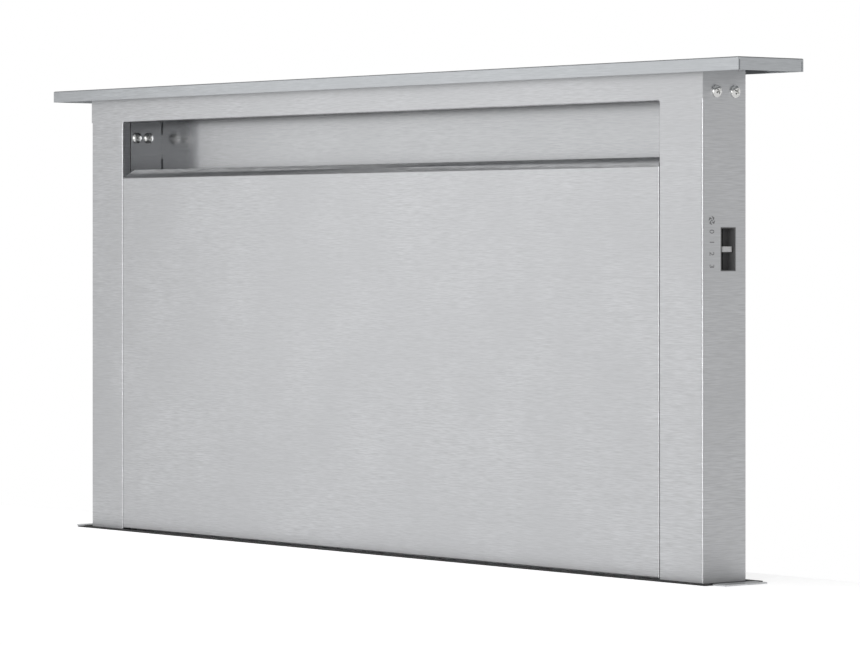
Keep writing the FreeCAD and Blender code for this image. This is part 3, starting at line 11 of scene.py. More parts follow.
import bmesh
import bpy
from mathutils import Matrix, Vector


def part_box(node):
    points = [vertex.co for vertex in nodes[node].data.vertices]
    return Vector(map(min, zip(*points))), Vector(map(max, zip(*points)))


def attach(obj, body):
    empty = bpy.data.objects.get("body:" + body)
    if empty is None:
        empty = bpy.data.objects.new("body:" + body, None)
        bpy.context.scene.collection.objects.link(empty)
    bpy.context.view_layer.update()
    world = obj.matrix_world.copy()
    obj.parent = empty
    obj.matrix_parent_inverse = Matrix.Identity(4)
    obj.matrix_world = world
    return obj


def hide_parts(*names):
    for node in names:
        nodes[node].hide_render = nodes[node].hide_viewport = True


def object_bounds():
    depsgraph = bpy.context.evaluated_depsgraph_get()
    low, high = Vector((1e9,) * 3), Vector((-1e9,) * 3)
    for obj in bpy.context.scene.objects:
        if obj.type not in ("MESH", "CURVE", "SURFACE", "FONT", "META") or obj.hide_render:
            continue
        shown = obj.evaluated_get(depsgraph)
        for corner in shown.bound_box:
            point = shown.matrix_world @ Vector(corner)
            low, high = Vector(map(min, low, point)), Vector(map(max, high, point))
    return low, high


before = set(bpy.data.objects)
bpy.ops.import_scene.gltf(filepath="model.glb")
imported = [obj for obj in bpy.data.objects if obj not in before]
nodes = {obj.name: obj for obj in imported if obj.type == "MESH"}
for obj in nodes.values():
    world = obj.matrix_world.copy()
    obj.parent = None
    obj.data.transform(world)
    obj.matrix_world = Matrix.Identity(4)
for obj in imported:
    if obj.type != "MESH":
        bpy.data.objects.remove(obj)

scene = bpy.context.scene
drawing_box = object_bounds()
MM = 0.001
scene.view_settings.view_transform = "Standard"
print(len(nodes), "drawn pieces loaded, from", drawing_box[0], "to", drawing_box[1])

# %% [markdown]
# The photograph was taken from the right, a little above the middle of the vent, with a long lens.
# The camera could be tipped to look down at the vent, but then the upright edges would lean together,
# and in the photograph they stay upright. So it is kept level and its picture is slid down, a shift.
# The numbers come from matching the corners of the cap and of the riser: the place is in metres, the
# turn in degrees, the lens in millimetres and the slide in picture widths.

# %% Camera
CAMERA_PLACE = (2.7011, -2.1303, 0.2559)
CAMERA_TURN = 51.179
LENS = 172.8
SLIDE = -0.0904


def put(name, data):
    """Makes an object of some data and links it to the scene."""
    made = bpy.data.objects.new(name, data)
    scene.collection.objects.link(made)
    return made


def make_camera():
    data = bpy.data.cameras.new("camera")
    data.lens = LENS
    data.shift_y = SLIDE
    camera = put("camera", data)
    camera.location = CAMERA_PLACE
    camera.rotation_euler = (math.radians(90), 0, math.radians(CAMERA_TURN))
    scene.camera = camera
    return camera


camera = make_camera()
print("camera", tuple(camera.location), "lens", camera.data.lens)

# %% [markdown]
# Shader trees and geometry trees are both sets of nodes and links. They could be written out node by
# node, but the same three steps would come back a hundred times. One helper serves both instead: it
# adds a node, fills its sockets and hands it back. With it a material or a shape reads from the first
# line down, in the order in which the values flow.


# %% Tree helpers
def add(tree, kind, inputs=(), **settings):
    """Adds a node; inputs are (socket, value or output) pairs, settings are the node's own options."""
    made = tree.nodes.new(kind)
    for name, value in settings.items():
        setattr(made, name, value)
    for socket, value in inputs:
        if isinstance(value, bpy.types.NodeSocket):
            tree.links.new(value, made.inputs[socket])
        else:
            made.inputs[socket].default_value = value
    return made


def math_node(tree, operation, first, second=0.0):
    return add(tree, "ShaderNodeMath", [(0, first), (1, second)], operation=operation).outputs[0]


def vector_node(tree, operation, first, second):
    return add(tree, "ShaderNodeVectorMath", [(0, first), (1, second)], operation=operation).outputs[0]


def blended(tree, first, share, second):
    """A weighted mean of two values: that share of the first, and the rest of the second."""
    return math_node(tree, "ADD", math_node(tree, "MULTIPLY", first, share),
                     math_node(tree, "MULTIPLY", second, 1 - share))


def mix_colour(tree, share, first, second):
    return add(tree, "ShaderNodeMix", [(0, share), (6, first), (7, second)], data_type="RGBA").outputs[2]


def ranged(tree, value, span, new_span):
    """Moves a value from one span to another, and keeps it inside; both are (first, last)."""
    return add(tree, "ShaderNodeMapRange", [
        ("Value", value), ("From Min", span[0]), ("From Max", span[1]),
        ("To Min", new_span[0]), ("To Max", new_span[1])]).outputs[0]


def own_place(tree):
    """Each point's place in the piece's own metres, so that a pattern moves with its piece."""
    return add(tree, "ShaderNodeTexCoord").outputs["Object"]


def noise(tree, place, scale, detail=2.0):
    return add(tree, "ShaderNodeTexNoise", [
        ("Vector", place), ("Scale", scale), ("Detail", detail)]).outputs[0]


shortened = (math_node, vector_node, blended, mix_colour, ranged, own_place, noise)
print("short names for nodes:", ", ".join(helper.__name__ for helper in shortened))

# %% [markdown]
# A finish is one material, and the solids of the drawing come with a plain one. The helpers here
# start an empty material round a Principled shader, dent its surface, and put it on drawn pieces.
# What several finishes share, such as a grain, is a node group: built once, then placed in each of
# them with its own values, so that a change to the group reaches all.


# %% Material helpers
def shade(colour, factor):
    """A colour made lighter or darker, as the four numbers that a socket takes."""
    return (*[min(1.0, value * factor) for value in colour], 1.0)


def blank_material(name, roughness=0.5, metallic=0.0):
    material = bpy.data.materials.new(name)
    material.use_nodes = True
    tree = material.node_tree
    tree.nodes.clear()
    surface = add(tree, "ShaderNodeBsdfPrincipled", [("Roughness", roughness), ("Metallic", metallic)])
    output = add(tree, "ShaderNodeOutputMaterial")
    tree.links.new(surface.outputs[0], output.inputs[0])
    return material, tree, surface.inputs


def dented(tree, surface, height, strength, distance):
    bump = add(tree, "ShaderNodeBump", [
        ("Strength", strength), ("Distance", distance), ("Height", height)])
    tree.links.new(bump.outputs[0], surface["Normal"])


FLOAT, VECTOR = "NodeSocketFloat", "NodeSocketVector"


def new_group(name, inputs, outputs):
    """A shader group with named sockets; inputs are (name, kind, default), outputs are (name, kind)."""
    tree = bpy.data.node_groups.new(name, "ShaderNodeTree")
    for label, kind, default in inputs:
        tree.interface.new_socket(label, in_out="INPUT", socket_type=kind).default_value = default
    for label, kind in outputs:
        tree.interface.new_socket(label, in_out="OUTPUT", socket_type=kind)
    return tree, tree.nodes.new("NodeGroupInput").outputs, tree.nodes.new("NodeGroupOutput").inputs


def place_group(tree, group, **values):
    made = tree.nodes.new("ShaderNodeGroup")
    made.node_tree = group
    for name, value in values.items():
        made.inputs[name.capitalize()].default_value = value
    return made.outputs


def finish_with(material, *names):
    """Gives drawn pieces a finish in place of the plain one that they came with."""
    for name in names:
        mesh = nodes[name].data
        mesh.materials.clear()
        mesh.materials.append(material)
    print(material.name, "on", len(names), "pieces")


print("half grey made a tenth lighter is", shade((0.5, 0.5, 0.5), 1.1))

# %% [markdown]
# Brushed stainless steel is drawn under an abrasive belt, which leaves countless fine parallel
# scratches. Two things make it read as such: short light and dark streaks that are a fraction of a
# millimetre wide, and a slight unevenness where the belt pressed harder. A photograph of steel could
# be laid on, but it would repeat and blur close up. Noise doesn't: it is read at the piece's own
# place, stretched so that a streak is long one way and thin the other. A grain below is how many
# streaks fit in a metre along x, y and z. Several finishes need this, so it is a group.

# %% The grain of brushed and turned metal
LEVEL_GRAIN, UPRIGHT_GRAIN = (85.0, 85.0, 1800.0), (1200.0, 1200.0, 40.0)
FINE_DETAIL, FINE_SHARE = 3.0, 0.75
LONGER_SCALE = 0.37
CLOUDS_PER_METRE = 14.0


def build_grain():
    tree, given, out = new_group("brushed grain", [("Stretch", VECTOR, LEVEL_GRAIN)],
                                 [("Streak", FLOAT), ("Cloud", FLOAT)])
    place = own_place(tree)
    stretched = vector_node(tree, "MULTIPLY", place, given["Stretch"])
    fine = noise(tree, stretched, 1.0, FINE_DETAIL)
    longer = noise(tree, stretched, LONGER_SCALE)
    tree.links.new(blended(tree, fine, FINE_SHARE, longer), out["Streak"])
    tree.links.new(noise(tree, place, CLOUDS_PER_METRE), out["Cloud"])
    return tree


brushed_grain = build_grain()
print("group", brushed_grain.name, "has", len(brushed_grain.nodes), "nodes")

# %% [markdown]
# Sheet that is brushed level throws a lamp's reflection up and down, across the scratches, and hardly
# to the sides. That is why the dark under the cap smears down the riser's face. Real scratches would
# do this by themselves, but they are far too fine to model. Anisotropy gives the same smear: its
# direction runs round the upright axis, so that it lies level on every upright face. The spans say
# how much of the noise, which gathers round one half, counts as fully dark and fully light.

# %% Brushed stainless steel
WHOLE = (0.0, 1.0)
STREAK_SPAN, CLOUD_SPAN, GLOSS_SPAN = (0.36, 0.64), (0.35, 0.65), (0.3, 0.7)
CLOUD_SHARE, GLOSS_CHANGE = 0.5, 0.12
SCRATCH_STRENGTH, SCRATCH_DEPTH = 0.08, 0.1 * MM
QUARTER_TURN = 0.25


def around(value, change):
    """A span round a value, from a share below it to the same share above it."""
    return value * (1 - change), value * (1 + change)


def brushed_metal(name, colour, roughness, grain, contrast, smear=0.0):
    """Contrast is how far the streaks differ from the colour, smear is how anisotropic it is."""
    material, tree, surface = blank_material(name, metallic=1.0)
    marks = place_group(tree, brushed_grain, stretch=grain)
    streaked = mix_colour(tree, ranged(tree, marks["Streak"], STREAK_SPAN, WHOLE),
                          shade(colour, 1 - contrast), shade(colour, 1 + contrast))
    cloudy = mix_colour(tree, ranged(tree, marks["Cloud"], CLOUD_SPAN, (0.0, CLOUD_SHARE)), streaked,
                        shade(colour, 1 - contrast / 2))
    tree.links.new(cloudy, surface["Base Color"])
    tree.links.new(ranged(tree, marks["Streak"], GLOSS_SPAN, around(roughness, GLOSS_CHANGE)),
                   surface["Roughness"])
    dented(tree, surface, marks["Streak"], SCRATCH_STRENGTH, SCRATCH_DEPTH)
    if smear:
        surface["Anisotropic"].default_value = smear
        surface["Anisotropic Rotation"].default_value = QUARTER_TURN
        level = add(tree, "ShaderNodeTangent", direction_type="RADIAL", axis="Z")
        tree.links.new(level.outputs[0], surface["Tangent"])
    return material


steel_face = brushed_metal("stainless, riser", (0.593, 0.60, 0.613), roughness=0.44,
                           grain=LEVEL_GRAIN, contrast=0.15, smear=0.8)
steel_cap = brushed_metal("stainless, cap", (0.475, 0.492, 0.508), roughness=0.36,
                          grain=LEVEL_GRAIN, contrast=0.12, smear=0.5)
# The inside of the slot is the same stainless with less roughness; its darker colour is painted shade of
# the recess.
steel_inside_painted_shade = brushed_metal("stainless, inside of the slot, painted shade", (0.43, 0.436, 0.446), roughness=0.22,
                             grain=LEVEL_GRAIN, contrast=0.10, smear=0.4)
finish_with(steel_face, "riser_shell", "front_panel")
finish_with(steel_cap, "cap")
finish_with(steel_inside_painted_shade, "back_panel", "column_left", "column_right")

# %% [markdown]
# Machined and cast metal differs from sheet in colour and in the run of its marks. Guide rails and
# rolled lead screws are marked along their length, which is upright, and the same upright marks run
# across the blower's level shaft, as a lathe leaves them. The bronze nuts are turned about an upright
# axis, so theirs are level. Aluminium is whiter. Each could be a material of its own, but they differ
# only in numbers, so the function above makes them all.

# %% Machined steel, aluminium, bronze and bright zinc
steel_machined = brushed_metal("steel, machined", (0.50, 0.50, 0.51), roughness=0.28,
                               grain=(900.0, 900.0, 60.0), contrast=0.08)
steel_drawn = brushed_metal("steel, drawn rail", (0.52, 0.52, 0.53), roughness=0.30,
                            grain=UPRIGHT_GRAIN, contrast=0.07)
aluminium = brushed_metal("aluminium, mill finish", (0.76, 0.77, 0.78), roughness=0.38,
                          grain=(300.0, 900.0, 300.0), contrast=0.05)
bronze = brushed_metal("bronze, turned", (0.71, 0.47, 0.24), roughness=0.30,
                       grain=(60.0, 60.0, 2400.0), contrast=0.10)
zinc_bright = brushed_metal("zinc, bright on screws", (0.74, 0.74, 0.73), roughness=0.22,
                            grain=(500.0, 500.0, 500.0), contrast=0.06)
finish_with(steel_machined, "fan_shaft", "lead_screw_left", "lead_screw_right")
finish_with(steel_drawn, "guide_rails")
finish_with(aluminium, "filter_frame_left", "filter_frame_right", "filter_mesh", "filter_pulls",
            "lift_gearbox")
finish_with(bronze, "lift_nuts")
finish_with(zinc_bright, "panel_pins", "damper_pin", "riser_screws", "housing_screws")

# %% [markdown]
# The sheet below the worktop is hot-dip galvanised. Zinc freezes on steel in flowers: flat crystals a
# centimetre or two across, each of which reflects a little more or less than the next, with fine
# feathers inside it. Plain noise would give soft clouds, but flowers have edges. The cells of a
# Voronoi pattern have them too, and the distance to a cell's edge gives the faint seam between two.
# The place is wavered first, so that no seam is ruler-straight.

# %% Galvanised sheet
WAVERS_PER_METRE, WAVER = 130.0, 6 * MM
FEATHER_GRAIN, TONE_SHARE = (900.0, 900.0, 260.0), 0.75
SEAM_WIDTH, SEAM_STRENGTH, SEAM_SHADE = 0.06, 0.35, 0.8
SHINE_SPAN, DULL_TO_BRIGHT = (0.1, 0.9), (0.52, 0.36)


def build_zinc_flowers():
    tree, given, out = new_group("zinc flowers", [("Flower", FLOAT, 75.0)],
                                 [("Shine", FLOAT), ("Seam", FLOAT)])
    place = own_place(tree)
    waver = add(tree, "ShaderNodeTexNoise", [
        ("Vector", place), ("Scale", WAVERS_PER_METRE), ("Detail", 2.0)]).outputs["Color"]
    bent = vector_node(tree, "ADD", place, vector_node(tree, "MULTIPLY", waver, (WAVER, WAVER, WAVER)))
    pattern = [("Vector", bent), ("Scale", given["Flower"])]
    cells = add(tree, "ShaderNodeTexVoronoi", pattern).outputs["Color"]
    to_edge = add(tree, "ShaderNodeTexVoronoi", pattern, feature="DISTANCE_TO_EDGE").outputs["Distance"]
    tone = add(tree, "ShaderNodeSeparateColor", [("Color", cells)]).outputs[0]
    feather = noise(tree, vector_node(tree, "MULTIPLY", bent, FEATHER_GRAIN), 1.0)
    tree.links.new(blended(tree, tone, TONE_SHARE, feather), out["Shine"])
    tree.links.new(ranged(tree, to_edge, (0.0, SEAM_WIDTH), (1.0, 0.0)), out["Seam"])
    return tree


zinc_flowers = build_zinc_flowers()


def galvanised(name, colour, flower, spread):
    """Flower is how many flowers fit in a metre, spread is how far their tones differ."""
    material, tree, surface = blank_material(name, metallic=1.0)
    zinc = place_group(tree, zinc_flowers, flower=flower)
    tone = mix_colour(tree, ranged(tree, zinc["Shine"], SHINE_SPAN, WHOLE),
                      shade(colour, 1 - spread), shade(colour, 1 + spread))
    seamed = mix_colour(tree, math_node(tree, "MULTIPLY", zinc["Seam"], SEAM_STRENGTH), tone,
                        shade(colour, SEAM_SHADE))
    tree.links.new(seamed, surface["Base Color"])
    tree.links.new(ranged(tree, zinc["Shine"], WHOLE, DULL_TO_BRIGHT), surface["Roughness"])
    return material


zinc_sheet = galvanised("galvanised sheet", (0.55, 0.57, 0.585), flower=75.0, spread=0.14)
zinc_fine = galvanised("zinc-plated brackets", (0.60, 0.61, 0.62), flower=420.0, spread=0.06)
finish_with(zinc_sheet, "housing_front", "housing_back", "housing_left", "housing_right",
            "housing_floor", "scroll_wrap", "scroll_cover", "blower_mount_plate", "inlet_ring",
            "duct_transition", "duct_collar", "damper_flap", "control_box", "control_cover")
finish_with(zinc_fine, "cap_brackets", "filter_sill", "air_baffle", "riser_base", "motor_hanger",
            "counter_flange_left", "counter_flange_right", "support_leg_left", "support_leg_right")

# %% [markdown]
# Plastic, rubber and paint aren't metals: they are dark, and what makes them real is how their
# surface breaks up a reflection. Moulded plastic has a spark-eroded texture, rubber a duller one, and
# sprayed paint a soft orange peel. A plain dark colour would look like a hole in the picture. One
# group gives the mottle, at a grain size that each one chooses, and relief is its depth.

# %% Plastic, rubber and paint
MOTTLE_DETAIL, BROAD_PER_METRE = 3.0, 28.0
TONE_CHANGE, MOTTLE_GLOSS_CHANGE, MOTTLE_STRENGTH = 0.14, 0.1, 0.25


def build_mottle():
    tree, given, out = new_group("fine mottle", [("Grain", FLOAT, 1500.0)],
                                 [("Fine", FLOAT), ("Broad", FLOAT)])
    place = own_place(tree)
    tree.links.new(noise(tree, place, given["Grain"], MOTTLE_DETAIL), out["Fine"])
    tree.links.new(noise(tree, place, BROAD_PER_METRE), out["Broad"])
    return tree


fine_mottle = build_mottle()


def coated(name, colour, roughness, grain, relief, coat=0.0):
    material, tree, surface = blank_material(name)
    mottle = place_group(tree, fine_mottle, grain=grain)
    tone = mix_colour(tree, ranged(tree, mottle["Broad"], CLOUD_SPAN, WHOLE),
                      shade(colour, 1 - TONE_CHANGE), shade(colour, 1 + TONE_CHANGE))
    tree.links.new(tone, surface["Base Color"])
    tree.links.new(ranged(tree, mottle["Broad"], GLOSS_SPAN, around(roughness, MOTTLE_GLOSS_CHANGE)),
                   surface["Roughness"])
    surface["Coat Weight"].default_value = coat
    dented(tree, surface, mottle["Fine"], MOTTLE_STRENGTH, relief)
    return material


plastic_dark = coated("plastic, charcoal switch", (0.11, 0.11, 0.112), roughness=0.38,
                      grain=2600.0, relief=0.04 * MM)
plastic_black = coated("plastic, black moulded", (0.040, 0.040, 0.041), roughness=0.40,
                       grain=2600.0, relief=0.08 * MM)
plastic_knob = coated("plastic, satin knob", (0.52, 0.52, 0.525), roughness=0.26,
                      grain=2600.0, relief=0.02 * MM, coat=0.4)
plastic_grey = coated("plastic, grey acetal", (0.42, 0.42, 0.41), roughness=0.45,
                      grain=1800.0, relief=0.05 * MM)
plastic_wheel = coated("plastic, blower wheel", (0.035, 0.036, 0.038), roughness=0.36,
                       grain=1400.0, relief=0.05 * MM)
rubber_black = coated("rubber, wiper and belt", (0.013, 0.013, 0.013), roughness=0.62,
                      grain=1500.0, relief=0.12 * MM)
paint_motor = coated("paint, motor can", (0.045, 0.047, 0.052), roughness=0.34,
                     grain=700.0, relief=0.10 * MM, coat=0.3)
finish_with(plastic_dark, "slider_bezel", "switch_body")
finish_with(plastic_black, "limit_switches", "cable_gland", "panel_catches", "screw_bearings")
finish_with(plastic_knob, "speed_knob")
finish_with(plastic_grey, "guide_shoes", "limit_striker", "screw_pulley_left", "screw_pulley_right")
finish_with(plastic_wheel, "blower_wheel")
finish_with(rubber_black, "wiper_seal", "drive_belt")
finish_with(paint_motor, "blower_motor", "lift_motor")

# %% [markdown]
# The control board is one solid: a plate with the shapes of its parts on it. Its faces could be
# picked out one by one and given materials, but depth tells them apart more simply. Whatever lies
# near the plate is green with copper tracks under the lacquer, and whatever stands further out is the
# dark body of a relay, a transformer or a capacitor.

# %% Circuit board
NEAR_PLATE = 2.2 * MM
TRACKS_PER_METRE, TRACK_WIDTH = 120.0, 0.03
LACQUER, LACQUER_LIGHTER = (0.03, 0.16, 0.06, 1), (0.04, 0.19, 0.08, 1)
COPPER_BELOW = (0.09, 0.27, 0.11, 1)
BODY_DARK, BODY_GREY, BODIES_PER_METRE = (0.02, 0.02, 0.022, 1), (0.09, 0.09, 0.10, 1), 60.0
PLATE_ROUGH, BODY_ROUGHER = 0.3, 0.2


def board_material():
    material, tree, surface = blank_material("circuit board")
    place = own_place(tree)
    depth = add(tree, "ShaderNodeSeparateXYZ", [("Vector", place)]).outputs["Y"]
    standing = math_node(tree, "LESS_THAN", depth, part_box("control_board")[1].y - NEAR_PLATE)
    tracks = add(tree, "ShaderNodeTexBrick", [
        ("Vector", vector_node(tree, "MULTIPLY", place, (1.0, 0.0, 1.0))), ("Scale", TRACKS_PER_METRE),
        ("Mortar Size", TRACK_WIDTH), ("Color1", LACQUER), ("Color2", LACQUER_LIGHTER),
        ("Mortar", COPPER_BELOW)]).outputs[0]
    bodies = mix_colour(tree, noise(tree, place, BODIES_PER_METRE), BODY_DARK, BODY_GREY)
    tree.links.new(mix_colour(tree, standing, tracks, bodies), surface["Base Color"])
    rough = math_node(tree, "ADD", math_node(tree, "MULTIPLY", standing, BODY_ROUGHER), PLATE_ROUGH)
    tree.links.new(rough, surface["Roughness"])
    return material


finish_with(board_material(), "control_board")

# %% [markdown]
# Geometry Nodes make what repeats. Copies of a mesh could be placed by a loop, but a tree can be
# changed by a few named inputs and run again on other points. Each tree takes a few points, grows a
# shape on each of them and ends in one mesh. The helpers below start a tree, end it, and run it once
# for a body: the result is kept as a plain mesh with its place in it, and rides on that body.

# %% Helpers for grown shapes
GEOMETRY, MATERIAL, COUNT = "NodeSocketGeometry", "NodeSocketMaterial", "NodeSocketInt"
SHARP = math.radians(32)


def new_shape(name, inputs):
    """A geometry tree with named inputs; gives the tree and the sockets of what is put in."""
    tree = bpy.data.node_groups.new(name, "GeometryNodeTree")
    tree.interface.new_socket("Geometry", in_out="INPUT", socket_type=GEOMETRY)
    tree.interface.new_socket("Finish", in_out="INPUT", socket_type=MATERIAL)
    for label, kind, default in inputs:
        tree.interface.new_socket(label, in_out="INPUT", socket_type=kind).default_value = default
    tree.interface.new_socket("Geometry", in_out="OUTPUT", socket_type=GEOMETRY)
    return tree, tree.nodes.new("NodeGroupInput").outputs


def finish_shape(tree, geometry, finish):
    """Ends a tree: real meshes, smooth faces with crisp edges, and the finish."""
    real = add(tree, "GeometryNodeRealizeInstances", [("Geometry", geometry)]).outputs[0]
    smooth = add(tree, "GeometryNodeSetShadeSmooth", [
        ("Geometry", real), ("Shade Smooth", True)]).outputs[0]
    angle = add(tree, "GeometryNodeInputMeshEdgeAngle").outputs["Unsigned Angle"]
    edged = add(tree, "GeometryNodeSetShadeSmooth", [
        ("Geometry", smooth), ("Selection", math_node(tree, "GREATER_THAN", angle, SHARP)),
        ("Shade Smooth", False)], domain="EDGE").outputs[0]
    painted = add(tree, "GeometryNodeSetMaterial", [("Geometry", edged), ("Material", finish)]).outputs[0]
    tree.links.new(painted, tree.nodes.new("NodeGroupOutput").inputs[0])


def grow(name, tree, spots, body, finish, slot, **inputs):
    """Runs a tree on points, each with the way it faces and a reach, and keeps the mesh on a body."""
    mesh = bpy.data.meshes.new(name + " points")
    mesh.from_pydata([spot[0] for spot in spots], [], [])
    facing = mesh.attributes.new("facing", "FLOAT_VECTOR", "POINT")
    facing.data.foreach_set("vector", [value for spot in spots for value in spot[1]])
    reach = mesh.attributes.new("reach", "FLOAT", "POINT")
    reach.data.foreach_set("value", [spot[2] for spot in spots])
    seed = put(name + " points", mesh)
    modifier = seed.modifiers.new("grow", "NODES")
    modifier.node_group = tree
    values = {key.replace("_", " ").capitalize(): value for key, value in inputs.items()}
    values["Finish"] = finish
    for socket in tree.interface.items_tree:
        if socket.in_out == "INPUT" and socket.name in values:
            modifier[socket.identifier] = values.pop(socket.name)
    if values:
        raise KeyError(f"{tree.name} has no input for {sorted(values)}")
    evaluated = seed.evaluated_get(bpy.context.evaluated_depsgraph_get())
    grown = bpy.data.meshes.new_from_object(evaluated)
    bpy.data.objects.remove(seed)
    made = put(name, grown)
    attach(made, body)
    print(name, "has", len(made.data.polygons), "faces, on", body)
    return made


def spot_value(tree, name, kind):
    """What each point carries: the way it faces, or its reach."""
    return add(tree, "GeometryNodeInputNamedAttribute", [("Name", name)], data_type=kind).outputs[0]


def facing_points(tree, points, shape, turn=None, scale=None):
    """Puts a shape, drawn upright, on points so that it faces each point's own way."""
    way = spot_value(tree, "facing", "FLOAT_VECTOR")
    turned = add(tree, "FunctionNodeAlignRotationToVector", [("Vector", way)], axis="Z").outputs[0]
    if turn:
        turned = add(tree, "FunctionNodeRotateRotation", [(0, turned), (1, turn)],
                     rotation_space="LOCAL").outputs[0]
    inputs = [("Points", points), ("Instance", shape), ("Rotation", turned)]
    if scale:
        inputs.append(("Scale", scale))
    return add(tree, "GeometryNodeInstanceOnPoints", inputs).outputs[0]


def on_points(tree, points, shape, **settings):
    """Puts a shape on points as it is drawn; settings are a Rotation or a Scale."""
    return add(tree, "GeometryNodeInstanceOnPoints", [
        ("Points", points), ("Instance", shape), *settings.items()]).outputs[0]


def joined(tree, *shapes):
    made = add(tree, "GeometryNodeJoinGeometry")
    for shape in reversed(shapes):
        tree.links.new(shape, made.inputs[0])
    return made.outputs[0]


def triple(tree, x=0.0, y=0.0, z=0.0):
    return add(tree, "ShaderNodeCombineXYZ", [(0, x), (1, y), (2, z)]).outputs[0]


def moved(tree, shape, by):
    return add(tree, "GeometryNodeTransform", [("Geometry", shape), ("Translation", by)]).outputs[0]


def shifted(tree, shape, offset):
    """Moves each point of a mesh by its own offset."""
    return add(tree, "GeometryNodeSetPosition", [("Geometry", shape), ("Offset", offset)]).outputs[0]


def swept(tree, curve, section_sides, section_radius, closed):
    """Runs a round section along a curve, with its ends closed or open."""
    section = add(tree, "GeometryNodeCurvePrimitiveCircle", [
        ("Resolution", section_sides), ("Radius", section_radius)]).outputs[0]
    return add(tree, "GeometryNodeCurveToMesh", [
        ("Curve", curve), ("Profile Curve", section), ("Fill Caps", closed)]).outputs[0]


print("edges of grown shapes stay crisp from", round(math.degrees(SHARP)), "degrees")

# %% [markdown]
# The drawing holds each screw as a plain solid, a shank with a stepped head. The places of the
# detailed screws could be typed in, but they would be wrong as soon as a size in the drawing changes.
# So each screw's seat and direction are read back from its solid: the head is whatever stands further
# from the axis than the shank does.

# %% Read the places of the screws
WELD = 0.002 * MM
HEAD_SHARE = 0.95


def separate_solids(name):
    """The separate solids of one drawn piece, each as a list of its corners."""
    work = bmesh.new()
    work.from_mesh(nodes[name].data)
    bmesh.ops.remove_doubles(work, verts=work.verts, dist=WELD)
    waiting, solids = set(work.verts), []
    while waiting:
        edge, solid = [waiting.pop()], []
        while edge:
            corner = edge.pop()
            solid.append(corner.co.copy())
            near = {link.other_vert(corner) for link in corner.link_edges} & waiting
            waiting -= near
            edge.extend(near)
        solids.append(solid)
    work.free()
    return sorted(solids, key=lambda corners: tuple(round(value, 4) for value in middle_of(corners)))


def limits_of(corners):
    return (Vector([min(corner[i] for corner in corners) for i in range(3)]),
            Vector([max(corner[i] for corner in corners) for i in range(3)]))


def middle_of(corners):
    low, high = limits_of(corners)
    return (low + high) / 2


def radius_about(corner, middle, axis):
    offset = corner - middle
    offset[axis] = 0
    return offset.length


def read_screw(corners):
    """The middle of a screw's seat, the way its head faces, and how far its shank reaches."""
    low, high = limits_of(corners)
    span, middle = high - low, (low + high) / 2
    axis = min(range(3), key=lambda i: abs(span[(i + 1) % 3] - span[(i + 2) % 3]))
    head_edge = HEAD_SHARE * span[(axis + 1) % 3] / 2
    heights = [corner[axis] for corner in corners if radius_about(corner, middle, axis) > head_edge]
    faces_up = high[axis] - max(heights) < min(heights) - low[axis]
    seat, way = middle.copy(), Vector((0, 0, 0))
    seat[axis] = min(heights) if faces_up else max(heights)
    way[axis] = 1 if faces_up else -1
    return seat, way, seat[axis] - low[axis] if faces_up else high[axis] - seat[axis]


riser_screws = [read_screw(corners) for corners in separate_solids("riser_screws")]
housing_screws = [read_screw(corners) for corners in separate_solids("housing_screws")]
print(len(riser_screws), "screws on the riser,", len(housing_screws), "on the housing")

# %% [markdown]
# A pan head is a low dome with a steep, round edge and a cross recess. Spinning an outline would give
# the dome as well, but a cylinder whose cap is pressed into shape by one formula needs no outline and
# follows its two sizes. The recess is cut by two crossed bars. Their bottoms lie in one plane, which
# leaves a few open edges where they cross: a cross drawn as one outline would have none. Each screw
# was tightened to its own angle, so each one is turned by its own amount, from a fixed seed.

# %% Pan-head screws
DOME_SIDES, DOME_RINGS, SHANK_SIDES = 40, 10, 16
EDGE_DROP, EDGE_STEEP = 0.55, 4.5
BAR_WIDTH, BAR_DEPTH = 0.24, 1.1


def pan_dome(tree, radius, rise):
    """A dome that falls by a share of its rise from the middle to the edge, slowly and then fast."""
    disc = add(tree, "GeometryNodeMeshCylinder", [
        ("Vertices", DOME_SIDES), ("Side Segments", 1), ("Fill Segments", DOME_RINGS),
        ("Radius", radius), ("Depth", rise)]).outputs[0]
    position = add(tree, "GeometryNodeInputPosition").outputs[0]
    x, y, z = add(tree, "ShaderNodeSeparateXYZ", [(0, position)]).outputs
    across = math_node(tree, "SQRT", math_node(tree, "ADD", math_node(tree, "POWER", x, 2.0),
                                               math_node(tree, "POWER", y, 2.0)))
    share = math_node(tree, "DIVIDE", across, radius)
    drop = math_node(tree, "MULTIPLY", math_node(tree, "POWER", share, EDGE_STEEP), -EDGE_DROP)
    crown = math_node(tree, "MULTIPLY", math_node(tree, "MULTIPLY", drop, rise),
                      math_node(tree, "GREATER_THAN", z, 0.0))
    lifted = math_node(tree, "ADD", crown, math_node(tree, "MULTIPLY", rise, 0.5))
    return shifted(tree, disc, triple(tree, z=lifted))


def cross_bars(tree, length, rise):
    """Two crossed bars in the top of a head, as one solid that is cut out of it."""
    bars = []
    for x, y in ((1.0, BAR_WIDTH), (BAR_WIDTH, 1.0)):
        size = triple(tree, math_node(tree, "MULTIPLY", length, x), math_node(tree, "MULTIPLY", length, y),
                      math_node(tree, "MULTIPLY", rise, BAR_DEPTH))
        bar = add(tree, "GeometryNodeMeshCube", [("Size", size)]).outputs[0]
        bars.append(moved(tree, bar, triple(tree, z=rise)))
    cross = add(tree, "GeometryNodeMeshBoolean", [("Mesh 2", bars[0])], operation="UNION")
    tree.links.new(bars[1], cross.inputs["Mesh 2"])
    return cross.outputs[0]


